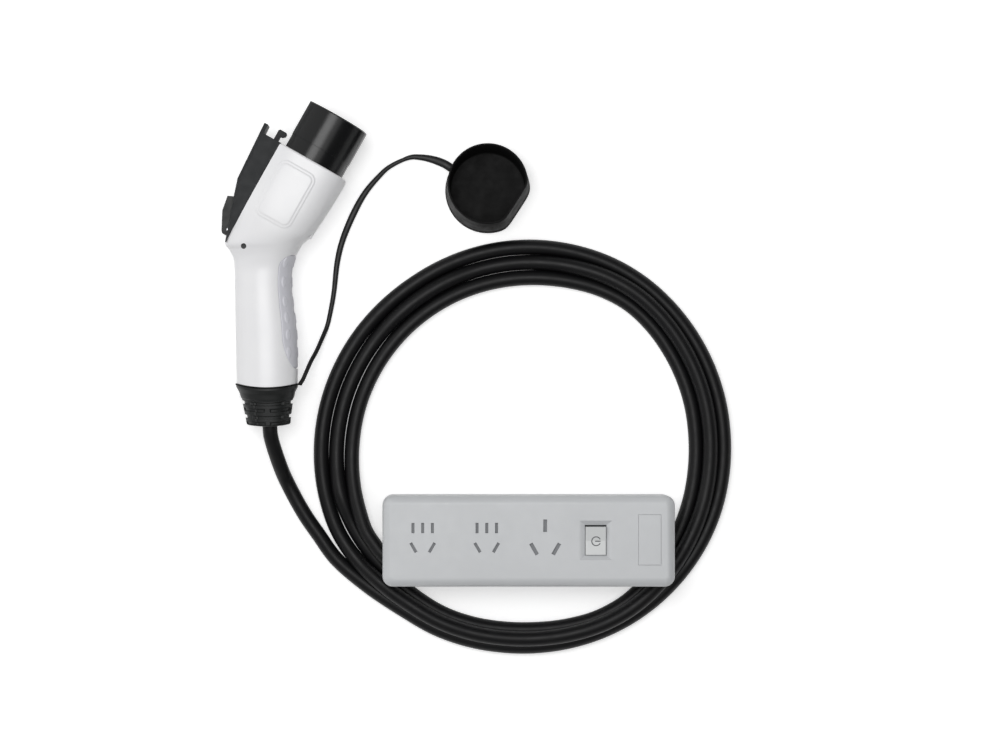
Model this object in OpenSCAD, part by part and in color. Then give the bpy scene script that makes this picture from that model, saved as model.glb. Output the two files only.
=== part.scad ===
// Charging adapter: a hand-held charging plug, its lead and a socket strip.
// The plug, its cap, the coiled lead and the strip lie on one surface at z = 0.
// X and Y lie in that surface, and Z points up from it. All sizes are in millimetres.
// The origin is in that surface, under the middle of the plug and the strip together.

/* [Layout] */
// Plug's reference point, where its two axes cross, across from the origin
gun_x = -160.05; // [-162:1:-154]
// Plug's reference point, up from the origin
gun_y = 78.6; // [72:1:80]
// Socket strip's middle, across from the origin
strip_x = 69.95; // [68:1:76]
// Socket strip's middle, up from the origin
strip_y = -170.8; // [-174:1:-166]
// Cap's middle, across from the origin
cap_x = 34.95; // [33:1:41]
// Cap's middle, up from the origin
cap_y = 139.6; // [133:1:141]
// Coil's middle, across from the origin
coil_x = 66.45; // [64:0.5:69]
// Coil's middle, up from the origin
coil_y = -92.4; // [-95:0.5:-91]

/* [Plug shell] */
// Angle between the head's axis and the handle
head_angle = 29.5; // [27:0.5:32]
// From the reference point to the head's front face
head_l = 90; // [88:1:94]
// Head's height, from the latch side to the underside
head_w = 65; // [64:0.5:67]
// Head's thickness from side to side, without the pads
head_t = 68; // [67:0.5:70]
// From the reference point down to the strain relief
handle_l = 113; // [108:1:120]
// Handle's width at its lower end
handle_w = 53; // [50:0.5:55]
// Handle's thickness at its lower end
handle_t = 43; // [41:0.5:45]
// Wall of both half shells
shell_wall = 2.5; // [2.2:0.1:2.8]
// How far the raised side panel stands out
pad_rise = 1; // [0.8:0.1:1.4]
// Side panel's width
pad_w = 36; // [34:0.5:38]
// Side panel's length along the head
pad_l = 54; // [50:1:56]
// Corner radius of the side panel
pad_r = 8; // [6:0.5:9]
// Height of the ledge under the head
ledge_rise = 4; // [3:0.5:5]
// How far the shell's lower end bows out in its middle
end_bow = 3.4; // [2:0.2:4.4]
// Thickness of the soft grip insert
grip_t = 1.2; // [1:0.1:1.6]

/* [Plug nose] */
// Radius of the round nose
nose_r = 31.6; // [31:0.1:32]
// From the nose's axis to its flat, on the latch side
nose_flat = 24.2; // [23.6:0.1:24.6]
// Length of the nose in front of the head
nose_l = 45; // [42:1:48]
// Radius of the five large wells
well_r = 9.3; // [9:0.05:9.4]
// Radius of the two small wells
small_well_r = 6.5; // [6.2:0.05:6.6]
// Distance between neighbouring large wells
well_pitch = 20; // [19.8:0.05:20.2]
// Depth of the wells
well_depth = 38; // [34:1:40]
// Radius of the power pins
pin_r = 3.4; // [3:0.1:3.6]
// Radius of the signal pins
signal_pin_r = 1.7; // [1.5:0.1:1.9]
// How far the pins' tips lie behind the face
pin_recess = 8; // [6:0.5:10]

/* [Latch] */
// Width of the latch cover
cover_w = 33.5; // [32:0.5:36]
// Height of the latch cover at the front
cover_h = 21; // [20:0.5:22]
// Wall of the latch cover
cover_wall = 2.2; // [2:0.1:2.4]
// How far the rain visor stands out in front
visor_l = 8.5; // [7:0.5:10]
// Width of the hook and its arm
hook_w = 10.8; // [9.5:0.1:12]
// How far the hook stands out of the cover
hook_reach = 10.5; // [9.5:0.5:11.5]
// Width of the thumb button
button_w = 20; // [18:0.5:22]
// Radius of the hinge pins
hinge_pin_r = 1.5; // [1.3:0.1:1.7]

/* [Strain relief] */
// Length of the strain relief
boot_l = 36; // [33:1:39]
// Width of its far end
boot_end_w = 38; // [35:0.5:41]
// Depth of its grooves
boot_groove = 2.4; // [2:0.1:3]
// Diameter of the lead
cable_d = 13; // [12.6:0.1:13.4]
// Diameter of the lead's three power cores
core_d = 3.6; // [3.2:0.1:3.8]
// Diameter of its two signal cores
signal_core_d = 2; // [1.6:0.1:2.1]
// Diameter of the cap's tether
tether_d = 3.4; // [3:0.1:3.8]

/* [Cap] */
// Outer radius of the cap
cap_r = 35.2; // [34.8:0.1:35.6]
// Wall of the cap
cap_wall = 2.2; // [2:0.1:2.6]
// Height of the cap
cap_h = 40; // [38:0.5:42]
// Direction that the cap's flat faces
cap_turn = -29.5; // [-35:0.5:-25]

/* [Socket strip] */
// Length of the strip
strip_l = 253; // [246:1:256]
// Width of the strip
strip_w = 79; // [76:0.5:80]
// Height of the strip
strip_h = 40; // [39:0.5:42]
// Corner radius of the strip
strip_r = 9; // [8:0.5:10]
// Radius of the rounded top edge
edge_r = 8; // [6:0.5:8.5]
// Wall of both strip shells
strip_wall = 2.5; // [2.3:0.1:2.8]
// Height of the lower shell
base_h = 14; // [13:0.5:15]
// Travel of the shutters behind the slots
shutter_travel = 4.2; // [4:0.1:4.4]
// Width of the rocker
rocker_w = 17.7; // [16.5:0.1:18.5]
// Length of the rocker
rocker_l = 24.4; // [23:0.2:25]
// Angle between the rocker's two positions
rocker_swing = 10; // [8:0.5:12]
// Width of the blank cover plate
blank_w = 19.8; // [18:0.2:22]
// Length of the blank cover plate
blank_l = 43.7; // [40:0.5:46]

/* [Hidden] */
$fn = 64;

// Clearance between pieces that are fitted together
fit_gap = 0.3;
// The same round the lead, which is drawn with flats, so that its corners stand out
lead_gap = 0.15;
// Clearance round a hinge pin
pin_gap = 0.05;
// More than any cut needs to pass through a face
through = 1;

// Height of the plug's middle plane: the far side panel rests on the surface
gun_z = head_t / 2 + pad_rise;
// The head's axis runs a little to the latch side of the reference point
head_mid = -0.6;
// The latch side of the head, measured across its axis
head_back = head_mid - head_w / 2;
// The nose's axis, set so that the nose keeps its margin at the underside
nose_axis = head_mid + head_w / 2 - 4.9 - nose_r;
// The handle's middle at its lower end
handle_mid = 2.7;
// Radius of the rounded edge at the head's front
front_edge = 1.8;
// Thickness of the wall that the nose passes through
front_wall = 3;
// Round neck of the nose behind that wall, and its flat
neck_r = 26.4;
neck_flat = 22.8;
// Flange of the nose inside the shells, and its flat
flange_r = 29.2;
flange_flat = 24;
flange_t = 4.5;
// From the head's front back to the rear of the nose and the front of the retainer
nose_tail = 18;
retainer_t = 3;
// Seal between the nose's flange and the wall in front of it
seal_t = 0.8;
// The sensing board's underside, measured from the parting plane
board_depth = 16;

module gun_at() {
    translate([gun_x, gun_y, gun_z]) children();
}

// The head's own frame: X across, away from the latch, and Y along, towards the nose
module head_at() {
    gun_at() rotate([0, 0, -head_angle]) children();
}

// The nose's own frame: Z along the nose and Y towards the latch
module nose_at() {
    head_at() translate([nose_axis, 0, 0]) rotate([-90, 0, 0]) rotate([0, 0, 90]) children();
}

// A frame on the latch side of the head: X along, Y up from the head, Z across
module latch_at() {
    head_at() translate([head_back, 0, 0]) rotate([0, 0, 90]) children();
}

module strip_at() {
    translate([strip_x, strip_y, strip_z]) children();
}

// Lofted surfaces
// Points in the head's frame turned into the plug's
function in_gun(across, along) = [
    across * cos(head_angle) + along * sin(head_angle),
    -across * sin(head_angle) + along * cos(head_angle)
];

function power(x, e) = sign(x) * pow(abs(x), e);

// One point of a section: back point, front point, half thickness, squareness and flatness of its back,
// at an angle round it, taken in by inset
function section_point(s, angle, inset) =
    let (
        span = s[1] - s[0],
        middle = (s[0] + s[1]) / 2,
        half = norm(span) / 2,
        way = span / (2 * half),
        round_share = 2 / s[3],
        across = power(cos(angle), round_share),
        flat = across < 0 ? max(across * s[4], -1) : across,
        p = middle + way * (half - inset) * flat
    )
    [p[0], p[1], (s[2] - inset) * power(sin(angle), round_share)];

// A value between four neighbours, along a smooth curve through the middle two
function smooth(a, b, c, d, t) =
    b + (c - a) * t / 2 + (2 * a - 5 * b + 4 * c - d) * t * t / 2 + (3 * b - a - 3 * c + d) * t * t * t / 2;

// Sections with more between them, on a smooth curve
function refined(s, steps) = [
    for (i = [0 : len(s) - 2], k = [0 : steps - 1])
        smooth(s[max(i - 1, 0)], s[i], s[i + 1], s[min(i + 2, len(s) - 1)], k / steps),
    s[len(s) - 1]
];

// Triangles between neighbouring rows of a grid of points
function grid_faces(rows, columns, wrap) = [
    for (i = [0 : rows - 2], j = [0 : columns - (wrap ? 1 : 2)])
        let (
            a = i * columns + j,
            b = i * columns + (j + 1) % columns,
            c = a + columns,
            d = b + columns
        )
        each [[a, b, d], [a, d, c]]
];

function flattened(rows) = [for (r = rows) each r];

// A flat end, filled with strips across the ring
function ring_cap(n) = [
    for (k = [0 : floor(n / 2) - 1])
        each concat(
            [[k, k + 1, n - 1 - k]],
            n - 2 - k > k + 1 ? [[k + 1, n - 2 - k, n - 1 - k]] : []
        )
];

// A closed solid through rings of as many points, each ring closed, with flat ends
module loft(rings) {
    rows = len(rings);
    columns = len(rings[0]);
    last = (rows - 1) * columns;
    cap_faces = [for (f = ring_cap(columns)) if (f[1] < f[2]) f];
    start_cap = [for (f = cap_faces) [f[2], f[1], f[0]]];
    end_cap = [for (f = cap_faces) [for (i = f) i + last]];
    polyhedron(flattened(rings), concat(grid_faces(rows, columns, true), start_cap, end_cap), convexity = 6);
}

// A tube of round section along a route of points, with ends square to the route
function route_way(p, i) =
    let (
        a = p[max(i - 1, 0)],
        b = p[min(i + 1, len(p) - 1)]
    )
    (b - a) / norm(b - a);

function tube_ring(p, i, r, sides) =
    let (
        way = route_way(p, i),
        side = cross(way, [0, 0, 1]),
        u = side / norm(side),
        v = cross(u, way)
    )
    [for (k = [0 : sides - 1]) p[i] + r * (cos(360 * k / sides) * u + sin(360 * k / sides) * v)];

module tube(route, d, sides, steps) {
    p = refined(route, steps);
    // The flats of a tube of few sides are set so that its section has a round one's area
    r = d / 2 * sqrt(2 * PI / (sides * sin(360 / sides)));
    loft([for (i = [len(p) - 1 : -1 : 0]) tube_ring(p, i, r, sides)]);
}

// Plug shell
// Sections of the plug from the strain relief to the head's front:
// back point, front point, half thickness, squareness, flatness of the back.
// Down the handle these are shares of its length, half width and half thickness.
handle_shares = [
    [1, 1, 1, 1],
    [0.88, 1.01, 1.015, 1],
    [0.73, 1.02, 1, 0.985],
    [0.56, 1.035, 0.965, 0.965],
    [0.4, 1.045, 0.875, 0.95],
    [0.25, 1.055, 0.82, 0.95],
    [0.12, 1.065, 0.845, 0.965]
];
handle_sections = [
    for (s = handle_shares) [
        [handle_mid - s[1] * handle_w / 2, -s[0] * handle_l],
        [handle_mid + s[2] * handle_w / 2, -s[0] * handle_l],
        s[3] * handle_t / 2, 2.2, 1
    ]
];
neck_sections = [
    [[-26.6, -4], [28.2, -2], handle_t / 2 + 1.5, 2.3, 1],
    [[-29.8, 3], [31.2, 4], handle_t / 2 + 4, 2.4, 1.02],
    [in_gun(head_back, -8), in_gun(25.6, 24.5), handle_t / 2 + 6.5, 2.5, 1.06]
];
// Up the head these are shares of its length at the back and at the front, and of its half thickness
head_shares = [
    [0.12, 0.38, -2.8, 0.91, 2.7, 1.12],
    [0.33, 0.53, -1.5, 0.965, 2.9, 1.28],
    [0.58, 0.69, -0.6, 0.99, 3, 1.38],
    [0.82, 0.85, -0.1, 1, 3, 1.42],
    [(head_l - front_edge) / head_l, (head_l - front_edge) / head_l, 0, 1, 3, 1.42]
];
head_front = head_mid + head_w / 2;
head_sections = [
    for (s = head_shares) [
        in_gun(head_back, s[0] * head_l),
        in_gun(head_front + s[2], s[1] * head_l),
        s[3] * head_t / 2, s[4], s[5]
    ]
];
front_section = [
    in_gun(head_back + front_edge, head_l), in_gun(head_front - front_edge, head_l),
    head_t / 2 - front_edge, 3, 1.42
];
front_inner_section = [
    in_gun(head_back, head_l - front_wall), in_gun(head_front, head_l - front_wall),
    head_t / 2, 3, 1.42
];
body_sections = refined(concat(handle_sections, neck_sections, head_sections), 2);
half_steps = 18;

function half_ring(s, inset) = [
    for (k = [0 : half_steps]) section_point(s, 180 * k / half_steps, inset)
];

// How far the shell's end reaches down beyond its edges, at a place across the handle
function end_curve(x) = end_bow * max(0, 1 - pow(2 * (x - handle_mid) / handle_w, 2));

function bowed(ring) = [for (p = ring) [p[0], p[1] - end_curve(p[0]), p[2]]];

// Half of the opening that the nose's neck passes through
function half_opening(along) = [
    for (k = [0 : half_steps])
        let (
            r = neck_r + fit_gap,
            across = nose_axis + max(r * cos(180 * k / half_steps), -neck_flat - fit_gap),
            p = in_gun(across, along)
        )
        [p[0], p[1], r * sin(180 * k / half_steps)]
];

// One hollow half shell: rings run up the outside, through the opening and back down the inside
module half_shell_loft() {
    count = len(body_sections);
    rings = concat(
        [bowed(half_ring(body_sections[0], 0))],
        [for (i = [1 : count - 1]) half_ring(body_sections[i], 0)],
        [half_ring(front_section, 0), half_opening(head_l), half_opening(head_l - front_wall)],
        [half_ring(front_inner_section, shell_wall)],
        [half_ring((front_inner_section + body_sections[count - 2]) / 2, shell_wall)],
        [for (i = [count - 2 : -1 : 1]) half_ring(body_sections[i], shell_wall)],
        [bowed(half_ring(body_sections[0], shell_wall))]
    );
    rows = len(rings);
    columns = half_steps + 1;
    points = flattened(rings);
    skin = [
        for (i = [0 : rows - 1], j = [0 : columns - 2])
            let (
                a = i * columns + j,
                c = ((i + 1) % rows) * columns + j
            )
            each [[a, a + 1, c + 1], [a, c + 1, c]]
    ];
    // The parting face is a strip between the outside and the inside, on both sides
    pairs = rows / 2;
    parting = [
        for (i = [0 : pairs - 2])
            let (
                a = i * columns,
                b = (i + 1) * columns,
                c = (rows - 1 - i) * columns,
                d = (rows - 2 - i) * columns,
                e = columns - 1
            )
            each [[a, b, d], [a, d, c], [a + e, d + e, b + e], [a + e, c + e, d + e]]
    ];
    polyhedron(points, concat(skin, parting), convexity = 8);
}

// The same body as a solid half, taken in by inset
module half_core(inset) {
    loft([for (s = body_sections) half_ring(s, inset)]);
}

// Places of the shell screws: across and along from the reference point, in the plug's frame
screw_post_r = 3.6;
screw_hole_r = 1.3;
screw_head_r = 2.8;
screw_places = [
    [handle_mid, -0.72 * handle_l, handle_t / 2],
    [handle_mid, -0.36 * handle_l, handle_t / 2 - 0.8],
    [-16.6, 5.7, 25],
    [in_gun(18, 58)[0], in_gun(18, 58)[1], 30.6]
];
// The post beside the heel has its screw's head on the near side, the others on the far side
near_screw = 2;

// Latch dimensions, in the latch's own frame
lever_x = 46;
lever_y = 6.4;
button_x = 3;
button_y = 3.4;
lever_bar = [4.2, 8.2];
lever_post_w = 3;
lever_post_gap = 8.6;
button_post_gap = 4;
post_sink = 1.6;

module latch_block(x0, x1, y0, y1, z0, z1) {
    latch_at() translate([x0, y0, z0]) cube([x1 - x0, y1 - y0, z1 - z0]);
}

module latch_pin(x, y, r, z0, z1) {
    latch_at() translate([x, y, z0]) cylinder(h = z1 - z0, r = r, $fn = 32);
}

// What both half shells share, drawn for the near one
module half_shell() {
    difference() {
        union() {
            gun_at() half_shell_loft();
            side_panel();
            under_ledge();
            // Stops behind the nose's flange and behind the retainer, clear of the outer power pins
            for (along = [head_l - front_wall - seal_t - flange_t - 2.7, head_l - nose_tail - retainer_t - 2.7])
                head_at() translate([head_mid - 12, along, 24]) cube([24, 2.5, 8.4]);
            // Screw posts
            for (i = [0 : len(screw_places) - 1])
                gun_at() translate([screw_places[i][0], screw_places[i][1], 0])
                    cylinder(h = screw_places[i][2] - 1.3, r = screw_post_r, $fn = 32);
            // Posts for the lever's pin, the button's pin and the cover's screws
            latch_block(lever_x - 4, lever_x + 4, -post_sink, lever_y + 4,
                lever_post_gap, lever_post_gap + lever_post_w);
            latch_block(button_x - 2.4, button_x + 2.4, -post_sink, button_y + 2.4,
                button_post_gap, button_post_gap + 3);
            latch_block(head_l - 8.2, head_l - 2.4, -post_sink, 12, 6.6, 12.6);
            // Two posts that carry the sensing board, in the far half
            head_at() translate([head_back + 8, 24, board_depth + 0.02]) cube([4, 4, 9]);
            head_at() translate([head_back + 22, 44, board_depth + 0.02]) cube([5, 5, 14.5]);
        }
        latch_pin(lever_x, lever_y, hinge_pin_r + 0.02, 0, 20);
        latch_pin(button_x, button_y, hinge_pin_r + 0.02, 0, 20);
        latch_at() translate([head_l - 10, 8.6, 9.6]) rotate([0, 90, 0]) cylinder(h = 20, r = 1.05, $fn = 24);
        for (s = screw_places)
            gun_at() translate([s[0], s[1], -through]) cylinder(h = s[2], r = screw_hole_r, $fn = 24);
        // The nose and its retainer keep their own space
        nose_at() translate([0, 0, head_l - nose_tail - retainer_t - 0.2])
            d_body(neck_r + fit_gap, neck_flat + fit_gap, nose_tail, 0);
    }
}

module side_panel() {
    intersection() {
        gun_at() half_core(-pad_rise);
        head_at() translate([head_mid - 7, 0.59 * head_l, 26]) linear_extrude(12)
            offset(r = pad_r) square([pad_w - 2 * pad_r, pad_l - 2 * pad_r], center = true);
    }
}

module under_ledge() {
    head_at() linear_extrude(10) polygon([
        [22, 31], [head_front - 6.5 + ledge_rise, 31],
        [head_front - 7 + ledge_rise, 51], [22, 51]
    ]);
}

// The hole for a shell screw's head, from outside
module screw_recess(s) {
    gun_at() translate([s[0], s[1], s[2] - 6]) cylinder(h = 12, r = screw_head_r + 0.2, $fn = 32);
}

module grip_recess() {
    grip_skin(1.6, -0.15, -3, grip_t + 0.15);
}

// A half with its recess for the grip insert and its holes for screw heads
module finished_half(far, heads) {
    difference() {
        half_shell();
        // The far half is mirrored later on, so its recess is mirrored here to lie as the insert does
        if (far)
            far_side() grip_recess();
        else
            grip_recess();
        for (i = heads)
            screw_recess(screw_places[i]);
    }
}

module shell_near() {
    color([0.93, 0.93, 0.94]) finished_half(false, [near_screw]);
}

module shell_far() {
    color([0.91, 0.91, 0.92]) far_side() finished_half(true, [0, 1, 3]);
}

// Mirrors what stands on the near side of the plug's middle plane to the far side
module far_side() {
    translate([0, 0, 2 * gun_z]) mirror([0, 0, 1]) children();
}

module shell_screw(s) {
    // The head stands at the recess's floor and the shank crosses the parting plane
    gun_at() translate([s[0], s[1], 0]) {
        translate([0, 0, s[2] - 6]) cylinder(h = 2.2, r = screw_head_r, $fn = 32);
        translate([0, 0, -0.45 * s[2]]) cylinder(h = 1.45 * s[2] - 6 + 0.1, r = screw_hole_r - 0.1, $fn = 24);
    }
}

module shell_screws() {
    color([0.55, 0.55, 0.57]) {
        for (i = [0, 1, 3])
            far_side() shell_screw(screw_places[i]);
        shell_screw(screw_places[near_screw]);
    }
}

// Grip insert
// Rows of the body that the insert covers, and how far round from the front it reaches in each
grip_rows = [2, 3, 4, 5, 6, 7, 8, 9, 10, 11, 12, 13, 14];
grip_reach = [24, 46, 56, 59, 60, 60, 60, 59, 59, 60, 59, 55, 34];
grip_steps = 14;

// A skin over the handle's front, from one depth under the surface to another
module grip_skin(more_reach, more_rows, outer, inner) {
    function row(i) =
        let (
            end_shift = i == 0 ? more_rows : i == len(grip_rows) - 1 ? -more_rows : 0,
            k = grip_rows[i],
            s = body_sections[k] * (1 - abs(end_shift))
                + body_sections[end_shift == 0 ? k : k + sign(end_shift)] * abs(end_shift)
        )
        s;
    function side(i, depth) = [
        for (j = [0 : grip_steps])
            section_point(row(i), (grip_reach[i] + more_reach) * (2 * j / grip_steps - 1), depth)
    ];
    gun_at() loft([
        for (i = [0 : len(grip_rows) - 1])
            concat(side(i, outer), [
                for (j = [grip_steps : -1 : 0]) side(i, inner)[j]
            ])
    ]);
}

module grip_insert() {
    color([0.73, 0.73, 0.76]) grip_skin(0, 0, 0, grip_t);
}

// Nose
// A round body with one flat, and a bevel round its far end
module d_body(r, flat, h, bevel) {
    intersection() {
        union() {
            cylinder(h = h - bevel, r = r, $fn = 96);
            if (bevel > 0)
                translate([0, 0, h - bevel]) cylinder(h = bevel, r1 = r, r2 = r - bevel, $fn = 96);
        }
        translate([-2 * r, -2 * r, -through]) cube([4 * r, 2 * r + flat, h + 2 * through]);
    }
}

// Places in the nose's face, across it and towards the latch
signal_places = [[-well_pitch / 2, 0.72 * well_pitch], [well_pitch / 2, 0.72 * well_pitch]];
blank_places = [[-well_pitch / 2, -0.867 * well_pitch], [well_pitch / 2, -0.867 * well_pitch]];
key_places = [[-23.3, -13.2], [23.3, -13.2]];
well_floor = head_l + nose_l - well_depth;
pin_tip = head_l + nose_l - pin_recess;
pin_tail = head_l - nose_tail - retainer_t - 9;
collar_l = 8;
// The nose is a little thinner beside the hook, from the head to the hook's tip
step_l = hook_reach + 2;
step_depth = 0.35;

module nose() {
    color([0.13, 0.14, 0.15]) nose_at() difference() {
        union() {
            translate([0, 0, head_l]) d_body(nose_r - step_depth, nose_flat - step_depth, step_l + 0.5, 0);
            translate([0, 0, head_l + step_l]) d_body(nose_r, nose_flat, nose_l - step_l, 1);
            translate([0, 0, head_l - nose_tail]) d_body(neck_r, neck_flat, nose_tail + 0.5, 0);
            translate([0, 0, head_l - front_wall - seal_t - flange_t])
                d_body(flange_r, flange_flat, flange_t, 0);
        }
        for (x = [-well_pitch, 0, well_pitch]) {
            translate([x, 0, well_floor]) cylinder(h = well_depth + through, r = well_r, $fn = 64);
            pin_bore(x, 0, pin_r);
        }
        for (p = signal_places) {
            translate([p[0], p[1], well_floor]) cylinder(h = well_depth + through, r = small_well_r, $fn = 48);
            pin_bore(p[0], p[1], signal_pin_r);
        }
        for (p = blank_places)
            translate([p[0], p[1], well_floor]) cylinder(h = well_depth + through, r = well_r, $fn = 64);
        for (p = key_places)
            translate([p[0], p[1], head_l + nose_l - 20]) cylinder(h = 21, r = 3.1, $fn = 32);
    }
}

module pin_bore(x, y, r) {
    translate([x, y, head_l - nose_tail - through]) {
        cylinder(h = through + collar_l + 0.1, r = r + 1.2, $fn = 32);
        cylinder(h = 60, r = r + 0.05, $fn = 32);
    }
}

// A contact pin: a rounded tip, a shank, a collar behind the nose and a barrel for the wire
module contact_pin(x, y, r) {
    color([0.78, 0.76, 0.72]) nose_at() translate([x, y, 0]) difference() {
        union() {
            translate([0, 0, pin_tail]) cylinder(h = pin_tip - r * 0.6 - pin_tail, r = r, $fn = 32);
            translate([0, 0, pin_tip - r * 0.6]) cylinder(h = r * 0.6, r1 = r, r2 = r * 0.45, $fn = 32);
            translate([0, 0, head_l - nose_tail]) cylinder(h = collar_l, r = r + 1.1, $fn = 32);
        }
        translate([0, 0, pin_tail - through]) cylinder(h = 7 + through, r = r * 0.72, $fn = 24);
    }
}

module pin_line() {
    contact_pin(-well_pitch, 0, pin_r);
}

module pin_earth() {
    contact_pin(0, 0, pin_r);
}

module pin_neutral() {
    contact_pin(well_pitch, 0, pin_r);
}

module pin_control() {
    contact_pin(signal_places[0][0], signal_places[0][1], signal_pin_r);
}

module pin_proximity() {
    contact_pin(signal_places[1][0], signal_places[1][1], signal_pin_r);
}

module pin_retainer() {
    color([0.3, 0.32, 0.34]) nose_at() translate([0, 0, head_l - nose_tail - retainer_t]) difference() {
        d_body(neck_r - 0.4, neck_flat - 0.4, retainer_t, 0);
        for (x = [-well_pitch, 0, well_pitch])
            translate([x, 0, -through]) cylinder(h = 10, r = pin_r + 0.1, $fn = 32);
        for (p = signal_places)
            translate([p[0], p[1], -through]) cylinder(h = 10, r = signal_pin_r + 0.1, $fn = 32);
    }
}

module nose_seal() {
    color([0.2, 0.2, 0.2]) nose_at() translate([0, 0, head_l - front_wall - seal_t]) difference() {
        d_body(flange_r, flange_flat, seal_t, 0);
        translate([0, 0, -through]) d_body(neck_r + 0.1, neck_flat + 0.1, seal_t + 2 * through, 0);
    }
}

// Latch
cover_back = [-7.9, 0.5];
cover_end = head_l + 0.5;
cover_corner = 2.9;
cover_profile = [
    cover_back, [31, 0.65 * cover_h], [45.5, 0.87 * cover_h], [cover_end, cover_h], [cover_end, 0]
];
button_slot = [-3.3, 32.8];
// The cover stands this much clear of the shells, whose surface waves slightly between its sections
cover_lift = 0.08;

module cover_solid() {
    low = [for (p = cover_profile) [p[0], max(p[1] - cover_corner, 0.02)]];
    hull() {
        linear_extrude(cover_w - 2 * cover_corner, center = true) polygon(cover_profile);
        linear_extrude(cover_w, center = true) polygon(concat(low, [[cover_back[0], 0]]));
    }
}

module visor() {
    tip = cover_end + visor_l;
    hull() {
        linear_extrude(cover_w - 2 * cover_corner, center = true)
            polygon([[cover_end - 3, cover_h - 0.2], [tip, cover_h + 0.6], [tip, cover_h - 3.1], [cover_end - 3, cover_h - 3.7]]);
        linear_extrude(cover_w, center = true)
            polygon([[cover_end - 3, cover_h - 3.1], [tip, cover_h - 2.3], [tip, cover_h - 3.1], [cover_end - 3, cover_h - 3.7]]);
    }
}

module latch_cover() {
    color([0.2, 0.21, 0.22]) latch_at() translate([0, cover_lift, 0]) difference() {
        union() {
            cover_solid();
            visor();
            translate([60, 0, -cover_w / 2 - 5]) cube([cover_end - 60, 2.3, cover_w + 10]);
        }
        // The hollow, open towards the shell
        linear_extrude(cover_w - 2 * cover_wall, center = true) offset(delta = -cover_wall)
            polygon(concat(cover_profile, [[cover_end, -9], [cover_back[0], -9]]));
        // The opening for the thumb button
        translate([button_slot[0], 0.8, -button_w / 2 - 0.5])
            cube([button_slot[1] - button_slot[0], 30, button_w + 1]);
        // The window for the hook
        translate([cover_end - 5, 3.2, -hook_w / 2 - 0.6]) cube([10, 13.4, hook_w + 1.2]);
        // Countersunk holes for the two screws
        for (z = [-9.6, 9.6])
            translate([cover_end - 5, 8.6, z]) rotate([0, 90, 0]) {
                cylinder(h = 10, r = 1.2, $fn = 24);
                translate([0, 0, 3.7]) cylinder(h = 10, r = 2.4, $fn = 24);
            }
    }
}

module cover_screws() {
    color([0.25, 0.25, 0.26]) for (z = [-9.6, 9.6])
        latch_at() translate([cover_end - 9, 8.6, z]) rotate([0, 90, 0]) {
            cylinder(h = 7.8, r = 1, $fn = 24);
            translate([0, 0, 7.7]) cylinder(h = 1, r = 2.1, $fn = 24);
        }
}

module latch_lever() {
    hook_tip = cover_end + hook_reach;
    color([0.17, 0.18, 0.19]) latch_at() difference() {
        union() {
            translate([0, 0, -hook_w / 2]) linear_extrude(hook_w) polygon([
                [21.5, lever_bar[0] + 1.4], [21.5, lever_bar[1]], [hook_tip - 1.2, lever_bar[1] + 0.2],
                [hook_tip, lever_bar[1] - 1], [hook_tip, 1.4], [hook_tip - 1, 0.4], [hook_tip - 3.4, 0.4],
                [hook_tip - 5.4, 2.6], [hook_tip - 5.4, lever_bar[0]], [34, lever_bar[0]]
            ]);
            translate([lever_x, lever_y, -lever_post_gap + 0.3])
                cylinder(h = lever_post_gap - 0.3 + hook_w / 2, r = 4, $fn = 48);
        }
        translate([lever_x, lever_y, -20]) cylinder(h = 40, r = hinge_pin_r + pin_gap, $fn = 32);
    }
}

module thumb_button() {
    roof = [
        [-2.5, 1.7], [-2.5, 6.9], [-0.9, 8.3], [14.8, 16.4], [28.1, 18.7], [30.4, 13.4], [29.6, 11.6], [27.8, 6.4]
    ];
    color([0.16, 0.17, 0.17]) latch_at() difference() {
        union() {
            difference() {
                translate([0, 0, -button_w / 2]) linear_extrude(button_w) polygon(roof);
                translate([0, 0, -button_w / 2 + 1.8]) linear_extrude(button_w - 3.6) polygon([
                    [-0.6, -2], [-0.6, 6.2], [15.4, 14.5], [26.8, 16.4], [28.3, 13.2], [27.4, 4], [27, -2]
                ]);
            }
            // The foot that presses the lever's tail
            translate([21.9, lever_bar[1] + 1.8, -2.5]) cube([3.2, 6.4, 5]);
            translate([23.5, lever_bar[1] + 1.8, -2.5]) cylinder(h = 5, r = 1.5, $fn = 32);
        }
        // Room for the lever's tail through the button's front wall
        translate([25, 1, -hook_w / 2 - 0.8]) cube([6, lever_bar[1] + 1.2, hook_w + 1.6]);
        translate([button_x, button_y, -20]) cylinder(h = 40, r = hinge_pin_r + pin_gap, $fn = 32);
    }
}

module lever_pin() {
    color([0.7, 0.7, 0.72])
        latch_pin(lever_x, lever_y, hinge_pin_r, -lever_post_gap - lever_post_w, lever_post_gap + lever_post_w);
}

module button_pin() {
    color([0.7, 0.7, 0.72]) latch_pin(button_x, button_y, hinge_pin_r, -button_w / 2, button_w / 2);
}

// A coil round the lever's pin, with one leg on the lever and the other on the shell
module lever_spring() {
    wire = 0.7;
    coil_r = 2.6;
    turns = 2.5;
    z0 = hook_w / 2 + 0.5;
    pitch = (lever_post_gap - z0 - 0.5) / turns;
    route = concat(
        [[7, -coil_r, 0]],
        [for (a = [-90 : 20 : -90 + 360 * turns]) [coil_r * cos(a), coil_r * sin(a), pitch * (a + 90) / 360]],
        [[-12, coil_r, pitch * turns]]
    );
    color([0.75, 0.75, 0.77]) latch_at() translate([lever_x, lever_y, z0])
        tube(route, wire, 8, 1);
}

module release_switch() {
    color([0.15, 0.15, 0.16]) {
        latch_block(58, 70, 0.02, 3.3, -3, 3);
        latch_block(60, 62, 3.2, 3.9, -1, 1);
    }
}

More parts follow.
